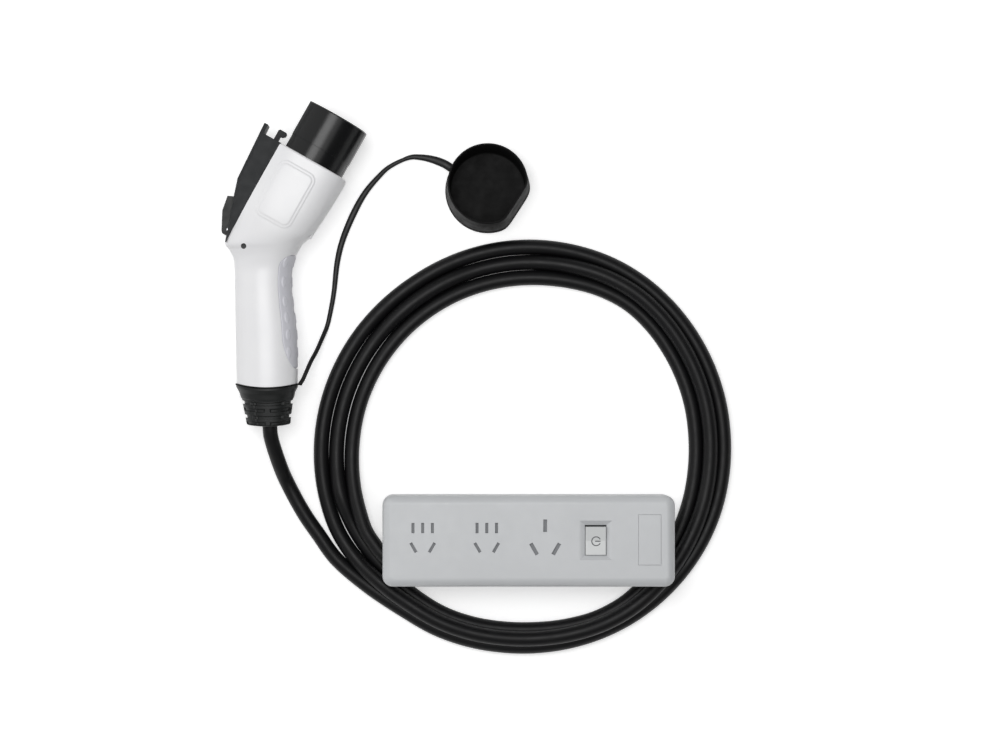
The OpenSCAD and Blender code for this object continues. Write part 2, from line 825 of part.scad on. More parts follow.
module sensing_board() {
    // A board on the far shell's side, behind the signal pins
    color([0.1, 0.35, 0.2]) head_at() {
        translate([head_back + 6, 22, -board_depth]) cube([24, 30, 1.6]);
        translate([head_back + 10, 28, 1.5 - board_depth]) cube([7, 7, 1.4]);
        translate([head_back + 20, 38, 1.5 - board_depth]) cube([6, 3.2, 1.2]);
    }
}

// Strain relief, clamp and cap
ring_t = 1.7;
boot_sides = 48;
cable_across = handle_mid + 2.5;

// A closed oval ring across the handle's direction, cut in by a depth that depends on the side
function oval_ring(middle, half_w, half_t, y, squareness, depth) = [
    for (k = [0 : boot_sides - 1])
        let (
            angle = 360 * k / boot_sides,
            x = half_w * power(cos(angle), 2 / squareness),
            z = half_t * power(sin(angle), 2 / squareness),
            away = norm([x, z])
        )
        [middle + x * (1 - depth[k] / away), y, z * (1 - depth[k] / away)]
];
no_cut = [for (k = [0 : boot_sides - 1]) 0];

// A row of slots leaves posts standing between them: every fourth part of the way round
function slot_cut(start) = [
    for (k = [0 : boot_sides - 1])
        let (from_post = abs((k - start + boot_sides / 8) % (boot_sides / 4) - boot_sides / 8))
        from_post <= 1 ? 0 : boot_groove
];

// How much of the handle's size is left down the boot: it draws in below its collar, then tapers gently
boot_fall = [[0, 1], [0.05, 0.98], [0.16, 0.67], [0.3, 0.48], [0.5, 0.35], [0.7, 0.2], [0.9, 0.06], [1, 0]];

function boot_row(share, cut) =
    let (
        fall = lookup(share, boot_fall),
        end_w = boot_end_w / 2,
        end_t = 0.395 * boot_end_w
    )
    oval_ring(
        handle_mid + 1.4 * share,
        end_w + (handle_w / 2 + 0.4 - end_w) * fall,
        end_t + (handle_t / 2 - end_t) * fall,
        -handle_l - ring_t - share * (boot_l - ring_t), 2.2, cut
    );

module boot() {
    slot_rows = [0.41, 0.585, 0.77, 0.935];
    slot_half = 1.15 / boot_l;
    rows = concat(
        [for (share = [0, 0.05, 0.16, 0.3]) boot_row(share, no_cut)],
        [boot_row(0.32, [for (k = no_cut) 0.7])],
        [
            for (i = [0 : len(slot_rows) - 1])
                let (
                    cut = slot_cut((i % 2) * boot_sides / 8 + boot_sides / 8),
                    flush = [for (k = no_cut) 0.7],
                    deep = [for (c = cut) max(c, 0.7)]
                )
                each [
                    boot_row(slot_rows[i] - slot_half * 1.3, flush), boot_row(slot_rows[i] - slot_half, deep),
                    boot_row(slot_rows[i] + slot_half, deep), boot_row(slot_rows[i] + slot_half * 1.3, flush)
                ]
        ],
        [boot_row(1, [for (k = no_cut) 0.9])]
    );
    color([0.16, 0.17, 0.17]) gun_at() difference() {
        union() {
            loft([for (i = [len(rows) - 1 : -1 : 0]) bowed(rows[i])]);
            loft([for (y = [-handle_l - ring_t - 6, -handle_l + 8]) neck_ring(y, 0)]);
        }
        translate([cable_across, -handle_l + 20, 0]) rotate([90, 0, 0]) cylinder(h = boot_l + 50, d = cable_d + 0.1);
    }
}

function neck_ring(y, more) =
    oval_ring(handle_mid, handle_w / 2 - shell_wall - 0.5 + more, handle_t / 2 - shell_wall - 0.5 + more, y, 2.2, no_cut);

module tether_ring() {
    outer_ring = [
        for (y = [-handle_l - ring_t + 0.02, -handle_l - 0.02])
            bowed(oval_ring(handle_mid, handle_w / 2 + 1, handle_t / 2 + 0.6, y, 2.2, no_cut))
    ];
    color([0.12, 0.12, 0.13]) gun_at() difference() {
        union() {
            loft(outer_ring);
            // The ear that the tether grows from
            translate([handle_mid + handle_w / 2 + 0.05, -handle_l - ring_t + 0.02, -4]) cube([4, ring_t - 0.04, 8]);
        }
        loft([for (y = [-handle_l - ring_t - 8, -handle_l + 1]) neck_ring(y, 0.1)]);
    }
}

module cable_clamp() {
    color([0.35, 0.36, 0.38]) gun_at() difference() {
        translate([cable_across - 14, -handle_l + 10, -9]) cube([28, 8, 18]);
        translate([cable_across, -handle_l + 30, 0]) rotate([90, 0, 0]) cylinder(h = 40, d = cable_d + 2 * lead_gap);
    }
}

// The lead's five cores, from inside the pins' barrels to the lead's end, past the screw posts.
// Their first places are given across, along and above the head's axis
module core(head_places, handle_places, d) {
    route = concat(
        [for (p = head_places) [in_gun(p[0], p[1])[0], in_gun(p[0], p[1])[1], p[2]]],
        handle_places
    );
    tube(route, d, 10, 3);
}

module plug_cores() {
    barrel = pin_tail + 4;
    end_y = -handle_l + 24.3;
    post_side = screw_post_r + core_d / 2 + 0.5;
    signal_side = screw_post_r + signal_core_d / 2 + 0.5;
    low_post = screw_places[0];
    high_post = screw_places[1];
    color([0.45, 0.3, 0.2]) gun_at() {
        for (side = [-1, 1])
            core(
                [
                    [nose_axis, barrel, side * well_pitch], [nose_axis + 0.4, pin_tail - 5, side * well_pitch],
                    [0, pin_tail - 15, side * 18.5], [3, pin_tail - 24, side * 16], [4, pin_tail - 36, side * 12]
                ],
                [
                    [10, -2, side * 8], [12, -20, side * 6], [high_post[0] + post_side + 2, high_post[1], side * 5.5],
                    [11.5, -60, side * 5], [low_post[0] + post_side + 0.6, low_post[1] + 5, side * 4.1],
                    [low_post[0] + post_side, low_post[1] - 1.5, side * 3.9],
                    [cable_across + 1.7, end_y, side * 3.8]
                ],
                core_d
            );
        core(
            [
                [nose_axis, barrel, 0], [nose_axis + 0.6, pin_tail - 6, 0], [0, pin_tail - 20, 0],
                [4, pin_tail - 36, 0]
            ],
            [
                [10, -2, 0], [12.5, -20, 0], [high_post[0] + post_side + 2.5, high_post[1], 0], [12, -60, 0],
                [low_post[0] + post_side + 1.2, low_post[1] + 5, 0], [low_post[0] + post_side + 0.6, low_post[1] - 1.5, 0],
                [cable_across + 3.1, end_y, 0]
            ],
            core_d
        );
        for (side = [-1, 1])
            core(
                [
                    [nose_axis - signal_places[0][1], barrel, side * well_pitch / 2],
                    [nose_axis - signal_places[0][1] + 0.5, pin_tail - 6, side * well_pitch / 2],
                    [-14, pin_tail - 20, side * 8], [-9, pin_tail - 36, side * 5]
                ],
                [
                    [-2, -1, side * 4], [-5, -20, side * 3], [high_post[0] - signal_side - 3, high_post[1], side * 3],
                    [-5, -62, side * 2.6], [low_post[0] - signal_side - 0.4, low_post[1] + 5, side * 1.7],
                    [low_post[0] - signal_side - 0.2, low_post[1] - 1, side * 1.5],
                    [cable_across - 3.6, end_y, side * 1.4]
                ],
                signal_core_d
            );
    }
}

// The tether's way on the surface, from the ear to the cap, in the plug's frame
tether_start = [handle_mid + handle_w / 2 + 2, -handle_l - ring_t / 2, 0];
tether_low = tether_d / 2 - gun_z;
cap_in_gun = [cap_x - gun_x, cap_y - gun_y];
tether_route = [
    tether_start,
    tether_start + [3.1, 4, -2.5],
    tether_start + [6.6, 9.9, -8],
    tether_start + [10.9, 21, -16],
    tether_start + [16, 29.6, -22],
    tether_start + [20, 40.5, -29],
    tether_start + [23, 51, tether_low],
    [56.2, -50, tether_low],
    [58.6, -32.9, tether_low],
    [61.3, -6.3, tether_low],
    [66, 14, tether_low],
    [75.5, 37.1, tether_low],
    [cap_in_gun[0] - 109.3, cap_in_gun[1] - 5.7, tether_low],
    [cap_in_gun[0] - 96.7, cap_in_gun[1] + 9, tether_low],
    [cap_in_gun[0] - 85.8, cap_in_gun[1] + 18.7, tether_low],
    [cap_in_gun[0] - 68.9, cap_in_gun[1] + 26.5, tether_low],
    [cap_in_gun[0] - 58.3, cap_in_gun[1] + 26.9, tether_low],
    [cap_in_gun[0] - 47.9, cap_in_gun[1] + 24.7, tether_low],
    [cap_in_gun[0] - 38, cap_in_gun[1] + 20.5, tether_low],
    [cap_in_gun[0] - 32.5, cap_in_gun[1] + 16.2, tether_low]
];

module tether() {
    color([0.12, 0.12, 0.13]) gun_at() tube(tether_route, tether_d, 12, 4);
}

module cap() {
    flat = 0.8 * cap_r;
    color([0.07, 0.07, 0.08]) translate([cap_x, cap_y, 0]) difference() {
        rotate([0, 0, cap_turn - 90]) {
            intersection() {
                union() {
                    cylinder(h = 1.5, r1 = cap_r - 0.9, r2 = cap_r + 0.6, $fn = 96);
                    translate([0, 0, 1.5]) cylinder(h = 3, r = cap_r + 0.6, $fn = 96);
                    cylinder(h = cap_h, r = cap_r, $fn = 96);
                }
                translate([-2 * cap_r, -2 * cap_r, 0]) cube([4 * cap_r, 2 * cap_r + flat, cap_h]);
            }
        }
        rotate([0, 0, cap_turn - 90]) translate([0, 0, cap_wall + 0.8])
            d_body(cap_r - cap_wall, flat - cap_wall, cap_h, 0);
    }
}

// Lead
coil_inner_r = 141;
coil_outer_r = 184;
coil_h = 24.5;

module cable_coil() {
    color([0.11, 0.115, 0.12]) translate([coil_x, coil_y, 0]) rotate_extrude($fn = 128)
        translate([coil_inner_r, 0]) offset(r = 5, $fn = 24) offset(delta = -5)
            square([coil_outer_r - coil_inner_r, coil_h]);
}

// From inside the handle down to where the lead joins the coil, in the plug's frame
coil_in_gun = [coil_x - gun_x, coil_y - gun_y];
lead_low = cable_d / 2 - gun_z;

function on_coil(r, angle, z) = [coil_in_gun[0] + r * cos(angle), coil_in_gun[1] + r * sin(angle), z];

lead_route = [
    [cable_across, -handle_l + 24, 0],
    [cable_across, -handle_l, 0],
    [cable_across, -handle_l - boot_l, 0],
    [cable_across + 0.5, -handle_l - boot_l - 12, -3.5],
    [cable_across + 6.5, -handle_l - boot_l - 34, -16],
    [cable_across + 13.5, -handle_l - boot_l - 52, lead_low + 2],
    [cable_across + 27, -handle_l - boot_l - 77, lead_low],
    [cable_across + 41, -handle_l - boot_l - 97, lead_low],
    on_coil(190, 211, lead_low),
    on_coil(181.5, 222, lead_low),
    on_coil(176, 233, lead_low)
];

module cable_lead() {
    color([0.11, 0.115, 0.12]) gun_at() tube(lead_route, cable_d, 16, 4);
}

// Socket strip
strip_z = coil_h;
// The lead's way in at the underside: a channel beside the first socket
channel = [-126, -64, -36.2, 14];
channel_top = 17.6;
entry_y = -26.7;
entry_z = 9.4;

// The lead leaves the coil's inside, turns under the strip and rises to the grommet
tail_turn = 66;
tail_from = 188;
tail_end = [channel[1] - 3.6, entry_y];
tail_heading = 61;
coil_in_strip = [coil_x - strip_x, coil_y - strip_y];
turn_start = tail_end + tail_turn * [-sin(tail_heading), 1 - cos(tail_heading)];
turn_start_r = norm(turn_start - coil_in_strip);

module cable_tail() {
    along_coil = [
        for (t = [0 : 0.25 : 0.75])
            let (
                angle = tail_from + (90 + 180 - tail_heading - tail_from) * t,
                r = coil_inner_r + 6 + (turn_start_r - coil_inner_r - 6) * t
            )
            coil_in_strip + r * [cos(angle), sin(angle)]
    ];
    turning = [
        for (angle = [tail_heading : -tail_heading / 8 : 0])
            tail_end + tail_turn * [-sin(angle), 1 - cos(angle)]
    ];
    flat = concat(along_coil, turning);
    low = cable_d / 2 - strip_z;
    route = concat(
        [
            for (i = [0 : len(flat) - 1])
                let (t = i / (len(flat) - 1))
                [flat[i][0], flat[i][1], low + (entry_z - low) * (3 - 2 * t) * t * t]
        ],
        [[tail_end[0] + 8, entry_y, entry_z], [-44, entry_y, entry_z]]
    );
    color([0.11, 0.115, 0.12]) strip_at() tube(route, cable_d, 16, 3);
}

sockets = [[-91.7, 11.5, -5.4, 8.4, 8, 2.5, 8.9, 9.3], [-36.4, 11.5, -5.4, 8.4, 8, 2.5, 8.9, 9.3],
    [14, 13.5, -6.6, 0, 9.6, 3.2, 10.8, 11.1]];
base_top = base_h;
cover_top = strip_h - strip_wall;
switch_at = [57.7, 0.9];
pivot_z = 32.5;
blank_at = [104.3, 1.3];
shutter_z = cover_top - 2.1;
strip_screw_places = [[-117, 28], [117, 28], [117, -28], [-30, -30.4]];
live_y = -24;
neutral_y = 27;
earth_y = 20.6;

module rounded_plate(inset, h) {
    linear_extrude(h) offset(r = strip_r - inset, $fn = 48)
        square([strip_l - 2 * strip_r, strip_w - 2 * strip_r], center = true);
}

// The strip's upper body: straight sides and a rounded edge round the top
module strip_dome(inset, z0) {
    r = strip_r - inset;
    e = edge_r - inset;
    top = strip_h - inset;
    hull() for (x = [-1, 1], y = [-1, 1])
        translate([x * (strip_l / 2 - strip_r), y * (strip_w / 2 - strip_r), 0]) rotate_extrude($fn = 40)
            polygon(concat(
                [[0, z0], [r, z0]],
                [for (a = [0 : 15 : 90]) [r - e + e * cos(a), top - e + e * sin(a)]],
                [[0, top]]
            ));
}

// All slots of one socket, as outlines
module socket_outlines(s) {
    for (x = s[3] > 0 ? [-s[3], 0, s[3]] : [0])
        translate([x, s[1]]) square([s[5], s[6]], center = true);
    for (side = [-1, 1])
        translate([side * s[4], s[2]]) rotate(-side * 30) square([s[5], s[7]], center = true);
}

module strip_cover() {
    recess_bottom = [rocker_w + 0.9, rocker_l + 1.8];
    color([0.75, 0.76, 0.77]) strip_at() difference() {
        union() {
            difference() {
                strip_dome(0, base_top);
                strip_dome(strip_wall, base_top - through);
            }
            // Thicker floor round the rocker
            translate([switch_at[0] - 16, switch_at[1] - 18.5, cover_top - 2]) cube([32, 37, 2.2]);
            // Rails under the ceiling that carry the shutters
            for (s = sockets, y = [-15.3, 21.8])
                translate([s[0] - 22, y, 0]) {
                    side = y < 0 ? -1 : 1;
                    translate([0, side < 0 ? -1.6 : 0, shutter_z - 1.7]) cube([44, 1.6, cover_top - shutter_z + 1.8]);
                    translate([0, side < 0 ? -1.6 : -1.4, shutter_z - 1.7]) cube([44, 3, 1.5]);
                }
            // Screw bosses
            for (p = strip_screw_places)
                translate([p[0], p[1], base_top + 0.2]) cylinder(h = cover_top - base_top, r = 3.6, $fn = 32);
        }
        for (s = sockets)
            translate([s[0], 0, cover_top - through]) linear_extrude(10) socket_outlines(s);
        // The sloping recess and the opening for the rocker
        translate([switch_at[0], switch_at[1], strip_h - 3]) linear_extrude(3.05,
            scale = [28.7 / recess_bottom[0], 34.2 / recess_bottom[1]]) square(recess_bottom, center = true);
        translate([switch_at[0], switch_at[1], 20]) linear_extrude(18) square(recess_bottom, center = true);
        // The pocket for the blank plate and the holes for its clips
        translate([blank_at[0] - blank_w / 2, blank_at[1] - blank_l / 2, strip_h - 1.6]) cube([blank_w, blank_l, 5]);
        for (y = [-12, 12])
            translate([blank_at[0] - 8.2, blank_at[1] + y - 3.3, 30]) cube([2.4, 6.6, 10]);
        for (p = strip_screw_places)
            translate([p[0], p[1], base_top - through]) cylinder(h = 15, r = 1.3, $fn = 24);
    }
}

module strip_base() {
    color([0.7, 0.71, 0.72]) strip_at() difference() {
        union() {
            difference() {
                union() {
                    rounded_plate(1, 1.01);
                    translate([0, 0, 1]) rounded_plate(0, base_top - 1.02);
                    rounded_plate(strip_wall + 0.2, base_top + 2.4);
                }
                difference() {
                    translate([0, 0, strip_wall]) rounded_plate(strip_wall + 1.8, 40);
                    // The channel's roof, side and end
                    translate([channel[0], -strip_w / 2, 0])
                        cube([channel[1] - channel[0], channel[3] + 2 + strip_w / 2, channel_top + 1.9]);
                }
            }
            for (p = strip_screw_places)
                translate([p[0], p[1], 1]) cylinder(h = base_top - 1, r = 3.6, $fn = 32);
            // Posts under the bars
            for (x = [-64, -11, 36])
                translate([x - 2, neutral_y - 2.5, 1]) cube([4, 5, 19 - 0.02]);
            for (x = [-64, -11, 36])
                translate([x - 2, earth_y - 2, 1]) cube([4, 3.6, 23 - 0.02]);
            for (x = [-18, 30])
                translate([x - 2, live_y - 2, 1]) cube([4, 4, 19 - 0.02]);
            // A seat for the switch
            translate([switch_at[0] - 12, switch_at[1] - 9, 1]) cube([24, 18, 15 - 0.02]);
            translate([-57, entry_y - 8.5, 1]) cube([9, 17, 3]);
        }
        // The channel, open below and at its end, and the hole for the grommet
        translate([channel[0] - 5, channel[2], -through])
            cube([channel[1] - channel[0] + 2, channel[3] - channel[2], channel_top + through]);
        translate([-80, entry_y, entry_z]) rotate([0, 90, 0]) cylinder(h = 20, r = 7.05, $fn = 48);
        translate([-60, entry_y, entry_z]) rotate([0, 90, 0]) cylinder(h = 20, d = cable_d + 2 * lead_gap);
        translate([channel[1] + 0.02, entry_y, entry_z]) rotate([0, 90, 0]) cylinder(h = 2.2, r = 7.9, $fn = 48);
        for (p = strip_screw_places)
            translate([p[0], p[1], 0]) {
                translate([0, 0, -through]) cylinder(h = 30, r = 1.7, $fn = 24);
                translate([0, 0, -through]) cylinder(h = 6 + through, r = 3, $fn = 32);
            }
    }
}

module strip_screws() {
    color([0.6, 0.6, 0.62]) strip_at() for (p = strip_screw_places)
        translate([p[0], p[1], 0]) {
            translate([0, 0, 3.8]) cylinder(h = 2.18, r = 2.7, $fn = 32);
            translate([0, 0, 5]) cylinder(h = 20, r = 1.25, $fn = 24);
        }
}

module strip_grommet() {
    color([0.12, 0.12, 0.12]) strip_at() translate([0, entry_y, entry_z]) rotate([0, 90, 0]) difference() {
        union() {
            translate([0, 0, channel[1] - 6]) cylinder(h = 2.9, r = 7.8, $fn = 48);
            translate([0, 0, channel[1] - 4]) cylinder(h = 5, r = 7, $fn = 48);
            translate([0, 0, channel[1] + 0.1]) cylinder(h = 2, r = 7.8, $fn = 48);
        }
        translate([0, 0, -90]) cylinder(h = 60, d = cable_d + 2 * lead_gap);
    }
}

module cord_clamp() {
    color([0.85, 0.85, 0.85]) strip_at() difference() {
        translate([-56, entry_y - 7.2, 4.02]) cube([7, 14.4, 14]);
        translate([-60, entry_y, entry_z]) rotate([0, 90, 0]) cylinder(h = 20, d = cable_d + 2 * lead_gap);
    }
}

module rocker() {
    color([0.8, 0.81, 0.82]) strip_at() translate([switch_at[0], switch_at[1], pivot_z])
        rotate([rocker_swing / 2, 0, 0]) {
            rotate([90, 0, 90]) translate([0, 0, -rocker_w / 2]) linear_extrude(rocker_w) polygon([
                [-rocker_l / 2, 2.8], [-rocker_l / 2, 7.6], [0, 6.4], [rocker_l / 2, 7.6], [rocker_l / 2, 2.8],
                [5, -1], [3, -7], [-3, -7], [-5, -1]
            ]);
            rotate([0, 90, 0]) cylinder(h = rocker_w + 4, r = 1.5, center = true, $fn = 32);
        }
}

module switch_body() {
    color([0.15, 0.15, 0.16]) strip_at() translate([switch_at[0], switch_at[1], 16]) difference() {
        translate([-12, -15.6, 0]) cube([24, 31.2, cover_top - 2.2 - 16]);
        translate([-9.4, -13.4, 2.4]) cube([18.8, 26.8, 30]);
        translate([-20, 0, pivot_z - 16]) rotate([0, 90, 0]) cylinder(h = 40, r = 1.5 + pin_gap, $fn = 32);
    }
}

module blank_plate() {
    color([0.76, 0.77, 0.78]) strip_at() translate([blank_at[0], blank_at[1], 0]) {
        translate([-blank_w / 2 + 0.15, -blank_l / 2 + 0.15, strip_h - 1.58]) cube([blank_w - 0.3, blank_l - 0.3, 1.58]);
        for (y = [-12, 12])
            translate([-8, y - 3, strip_h - 6]) cube([2, 6, 5]);
    }
}

module shutter(s) {
    color([0.62, 0.63, 0.64]) strip_at() translate([s[0], 0, shutter_z]) linear_extrude(1.8) difference() {
        translate([-17, -15]) square([36, 36.5]);
        translate([shutter_travel, 0]) socket_outlines(s);
    }
}

module shutter_1() {
    shutter(sockets[0]);
}

module shutter_2() {
    shutter(sockets[1]);
}

module shutter_3() {
    shutter(sockets[2]);
}

// A clip that grips a blade: two leaves joined at the bottom
module clip(x, y, turn, w, l, z0) {
    translate([x, y, z0]) rotate([0, 0, turn]) difference() {
        translate([-w / 2 - 0.7, -l / 2, 0]) cube([w + 1.4, l, 31 - z0]);
        translate([-w / 2, -l / 2 - through, 0.8]) cube([w, l + 2 * through, 20]);
    }
}

module bar(y, z0, z1) {
    translate([-104, y - 0.4, z0]) cube([146, 0.8, z1 - z0]);
}

module live_bar() {
    color([0.8, 0.65, 0.35]) strip_at() {
        bar(live_y, 20, 27);
        for (s = sockets) {
            clip(s[0] + s[4], s[2], -30, s[5] - 1, 8, 20);
            if (s[3] > 0)
                clip(s[0] + s[3], s[1], 0, s[5] - 1, 8, 20);
            translate([s[0] + s[4] - 1.5, live_y, 20]) cube([3, s[3] > 0 ? 39 : 20, 0.8]);
        }
    }
}

module neutral_bar() {
    color([0.8, 0.65, 0.35]) strip_at() {
        bar(neutral_y, 20, 27);
        for (s = sockets) {
            clip(s[0] - s[4], s[2], 30, s[5] - 1, 8, 20);
            if (s[3] > 0)
                clip(s[0] - s[3], s[1], 0, s[5] - 1, 8, 20);
            translate([s[0] - s[4] - 1.5, s[2] - 1, 20]) cube([3, neutral_y - s[2] + 1, 0.8]);
        }
    }
}

module earth_bar() {
    color([0.8, 0.65, 0.35]) strip_at() {
        bar(earth_y, 24, 30);
        for (s = sockets) {
            clip(s[0], s[1], 0, s[5] - 1, 8, 22);
            translate([s[0] - 1.5, s[1], 24]) cube([3, earth_y - s[1], 0.8]);
        }
    }
}

// The lead's power cores in the strip: earth and neutral to their bars, live to the switch and from there
// on to its bar. They pass under the bars' branches, one above another where they cross
module strip_cores() {
    lead_end = -43.1;
    low = strip_wall + core_d / 2 + 0.3;
    over = core_d + 0.4;
    switch_side = switch_at[0] - 12.3;
    color([0.45, 0.3, 0.2]) strip_at() {
        tube([
            [lead_end, entry_y - 2.1, entry_z - 1.2], [lead_end + 1.8, entry_y - 2.1, entry_z - 1.2],
            [-38.5, -27.6, low + 0.5], [-33, -23, low], [-24, -17, low],
            [-10, -15, low], [20, -13, low], [34, -8, low + 2], [switch_side - 4.5, switch_at[1] - 4.9, 12],
            [switch_side - 3.6, switch_at[1] - 4.9, 18.5], [switch_side - 2, switch_at[1] - 4.9, 20.5],
            [switch_side - 0.3, switch_at[1] - 4.9, 20.5]
        ], core_d, 10, 3);
        tube([
            [lead_end, entry_y + 2.1, entry_z - 1.2], [lead_end + 1.8, entry_y + 2.1, entry_z - 1.2],
            [-39.4, -22.4, low + over + 0.2], [-35, -16, low + over + 0.2],
            [-28, 0, low + over + 0.2],
            [-26, 13, 13], [-25, 20, 19.6], [-25, neutral_y - 3, 22.6], [-25, neutral_y - 0.8, 22.6]
        ], core_d, 10, 3);
        tube([
            [lead_end, entry_y, entry_z + 2.4], [lead_end + 1.8, entry_y, entry_z + 2.4],
            [-36, -22.5, low + 2 * over], [-22, -8, low + 2 * over], [-19, 5, 13], [-18.6, 12, 20],
            [-18.5, earth_y - 3.2, 26], [-18.5, earth_y - 0.8, 26.6]
        ], core_d, 10, 3);
        tube([
            [switch_side - 0.4, switch_at[1] - 10, 23], [switch_side - 2.2, switch_at[1] - 10, 23],
            [switch_side - 6, switch_at[1] - 14.4, 23.3], [switch_side - 6.4, live_y + 0.7, 23.5]
        ], core_d, 10, 3);
    }
}

shell_near();
shell_far();
shell_screws();
grip_insert();
nose();
pin_line();
pin_earth();
pin_neutral();
pin_control();
pin_proximity();
pin_retainer();
nose_seal();
latch_cover();
cover_screws();
latch_lever();
thumb_button();
lever_pin();
button_pin();
lever_spring();
release_switch();
sensing_board();
boot();
cable_clamp();
plug_cores();
tether_ring();
tether();
cap();
cable_lead();
cable_coil();
cable_tail();
strip_cover();
strip_base();
strip_screws();
strip_grommet();
cord_clamp();
rocker();
switch_body();
blank_plate();
shutter_1();
shutter_2();
shutter_3();
live_bar();
neutral_bar();
earth_bar();
strip_cores();
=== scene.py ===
# %% [markdown]
# # A charging plug with its coiled lead and socket strip
# The object lies on a table: a white plug with a black nose, a rubber cap on a thin tether, three turns of
# thick black lead, and a grey strip with three sockets that lies on the coil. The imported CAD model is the
# frame. Everything here is worked out in metres in the same axes, so a piece goes straight to its place.

# %% Load the frame
import math

import bmesh
import bpy
import numpy as np
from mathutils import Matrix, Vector


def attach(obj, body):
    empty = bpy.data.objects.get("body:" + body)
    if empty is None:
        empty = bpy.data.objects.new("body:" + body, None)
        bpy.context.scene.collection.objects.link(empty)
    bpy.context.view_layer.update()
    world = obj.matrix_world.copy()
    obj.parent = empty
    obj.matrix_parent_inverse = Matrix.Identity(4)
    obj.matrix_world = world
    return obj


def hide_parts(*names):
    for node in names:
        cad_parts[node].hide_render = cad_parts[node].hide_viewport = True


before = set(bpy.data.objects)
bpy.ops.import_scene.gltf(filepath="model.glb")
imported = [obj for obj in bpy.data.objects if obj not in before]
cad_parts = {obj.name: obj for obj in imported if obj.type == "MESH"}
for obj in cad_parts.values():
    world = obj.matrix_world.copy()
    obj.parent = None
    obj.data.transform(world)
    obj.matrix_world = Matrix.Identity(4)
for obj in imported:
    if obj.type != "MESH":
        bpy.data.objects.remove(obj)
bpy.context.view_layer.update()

# %% [markdown]
# ## Places that everything is measured from
# The plug lies on its side. Its reference point is where the handle's axis meets the head's axis. The head
# leans by one angle from the handle. These values repeat the CAD source's own, in metres.

# %% Reference places
MM = 0.001
PLUG = np.array([-160.05, 78.6, 35.0]) * MM
COIL = np.array([66.45, -92.4, 0.0]) * MM
STRIP = np.array([69.95, -170.8, 24.5]) * MM
CAP = np.array([34.95, 139.6, 0.0]) * MM
HEAD_ANGLE = math.radians(29.5)
HEAD_MID, HEAD_WIDTH, HEAD_THICK, HEAD_LENGTH = -0.6, 65.0, 68.0, 90.0
HANDLE_MID, HANDLE_WIDTH, HANDLE_THICK, HANDLE_LENGTH = 2.7, 53.0, 43.0, 113.0
NOSE_AXIS = -4.6
BOOT_LENGTH = 34.2
LEAD_WIDTH, TETHER_WIDTH = 13.0 * MM, 3.4 * MM


def in_head(across, along, up=0.0):
    """A place given across, along and above the head's axis, in millimetres, as a place in the row frame.

    Across is turned by the head's angle against along: x = across cos a + along sin a, and
    y = along cos a - across sin a. Arrays work too."""
    across, along, up = np.broadcast_arrays(*(np.asarray(v, float) for v in (across, along, up)))
    c, s = math.cos(HEAD_ANGLE), math.sin(HEAD_ANGLE)
    return PLUG + MM * np.stack([across * c + along * s, along * c - across * s, up], -1)


# %% [markdown]
# ## The camera
# The photograph looks straight down from far away. A pixel covers the same width all over its middle plane,
# so the lens follows from the width that the picture takes in and from the camera's height. The camera
# stands a little towards the plug, where the photograph shows no side walls, and its lens is shifted to keep
# the picture's middle.

# %% Camera
VIEW_WIDTH = 0.873
CAMERA_HEIGHT = 3.0
CAMERA_X = -0.03
VIEW_CENTRE = (0.0458, -0.0272, 0.030)
SENSOR_WIDTH = 36

camera_data = bpy.data.cameras.new("camera")
camera_data.sensor_width = SENSOR_WIDTH
camera_data.lens = SENSOR_WIDTH * CAMERA_HEIGHT / VIEW_WIDTH
camera = bpy.data.objects.new("camera", camera_data)
camera_data.shift_x = (VIEW_CENTRE[0] - CAMERA_X) / VIEW_WIDTH
camera.location = (CAMERA_X, VIEW_CENTRE[1], VIEW_CENTRE[2] + CAMERA_HEIGHT)
bpy.context.scene.collection.objects.link(camera)
bpy.context.scene.camera = camera

# %% [markdown]
# ## Small tools: curves and grids
# A surface here is a grid of points: rings along the piece, and the points round each ring. One function
# turns such a grid into a closed mesh, so that every piece needs only its formula.


# %% Curve and grid helpers
def running(line):
    """The length run up to each point of a line, from 0 at the first."""
    return np.concatenate([[0], np.cumsum(np.linalg.norm(np.diff(line, axis=0), axis=1))])


def on_curve(rows, t):
    """The smooth curve through all rows but the first and the last one, at running places t from 0 on.

    Catmull-Rom: between two rows it is the cubic that leaves each one in the direction of its neighbours.
    The first and the last row only give the direction at the ends."""
    i = np.minimum(np.asarray(t).astype(int), len(rows) - 4)
    u = (np.asarray(t) - i)[:, None]
    a, b, c, d = (rows[i + k] for k in range(4))
    return b + u * (c - a) / 2 + u**2 * (2 * a - 5 * b + 4 * c - d) / 2 + u**3 * (3 * b - a - 3 * c + d) / 2


def smooth_line(points, count):
    """A smooth line through the points, as count places that are equally far apart along it."""
    p = np.asarray(points, float)
    rows = np.vstack([2 * p[0] - p[1], p, 2 * p[-1] - p[-2]])
    line = on_curve(rows, np.linspace(0, len(p) - 1, 24 * len(p)))
    run = running(line)
    at = np.linspace(0, run[-1], count)
    return np.stack([np.interp(at, run, line[:, k]) for k in range(line.shape[1])], 1)


def smooth_step(x):
    """0 up to 0, 1 from 1 on, and a soft S between: 3x^2 - 2x^3."""
    x = np.clip(x, 0, 1)
    return x * x * (3 - 2 * x)


def grid_faces(rows, columns, wrap_rows=False, wrap_columns=False):
    """The quads of a grid of points numbered row by row, as an array of four indices each."""
    r = np.arange(rows if wrap_rows else rows - 1)
    c = np.arange(columns if wrap_columns else columns - 1)
    r, c = np.meshgrid(r, c, indexing="ij")
    r2, c2 = (r + 1) % rows, (c + 1) % columns
    quads = np.stack([r * columns + c, r * columns + c2, r2 * columns + c2, r2 * columns + c], -1)
    return quads.reshape(-1, 4)


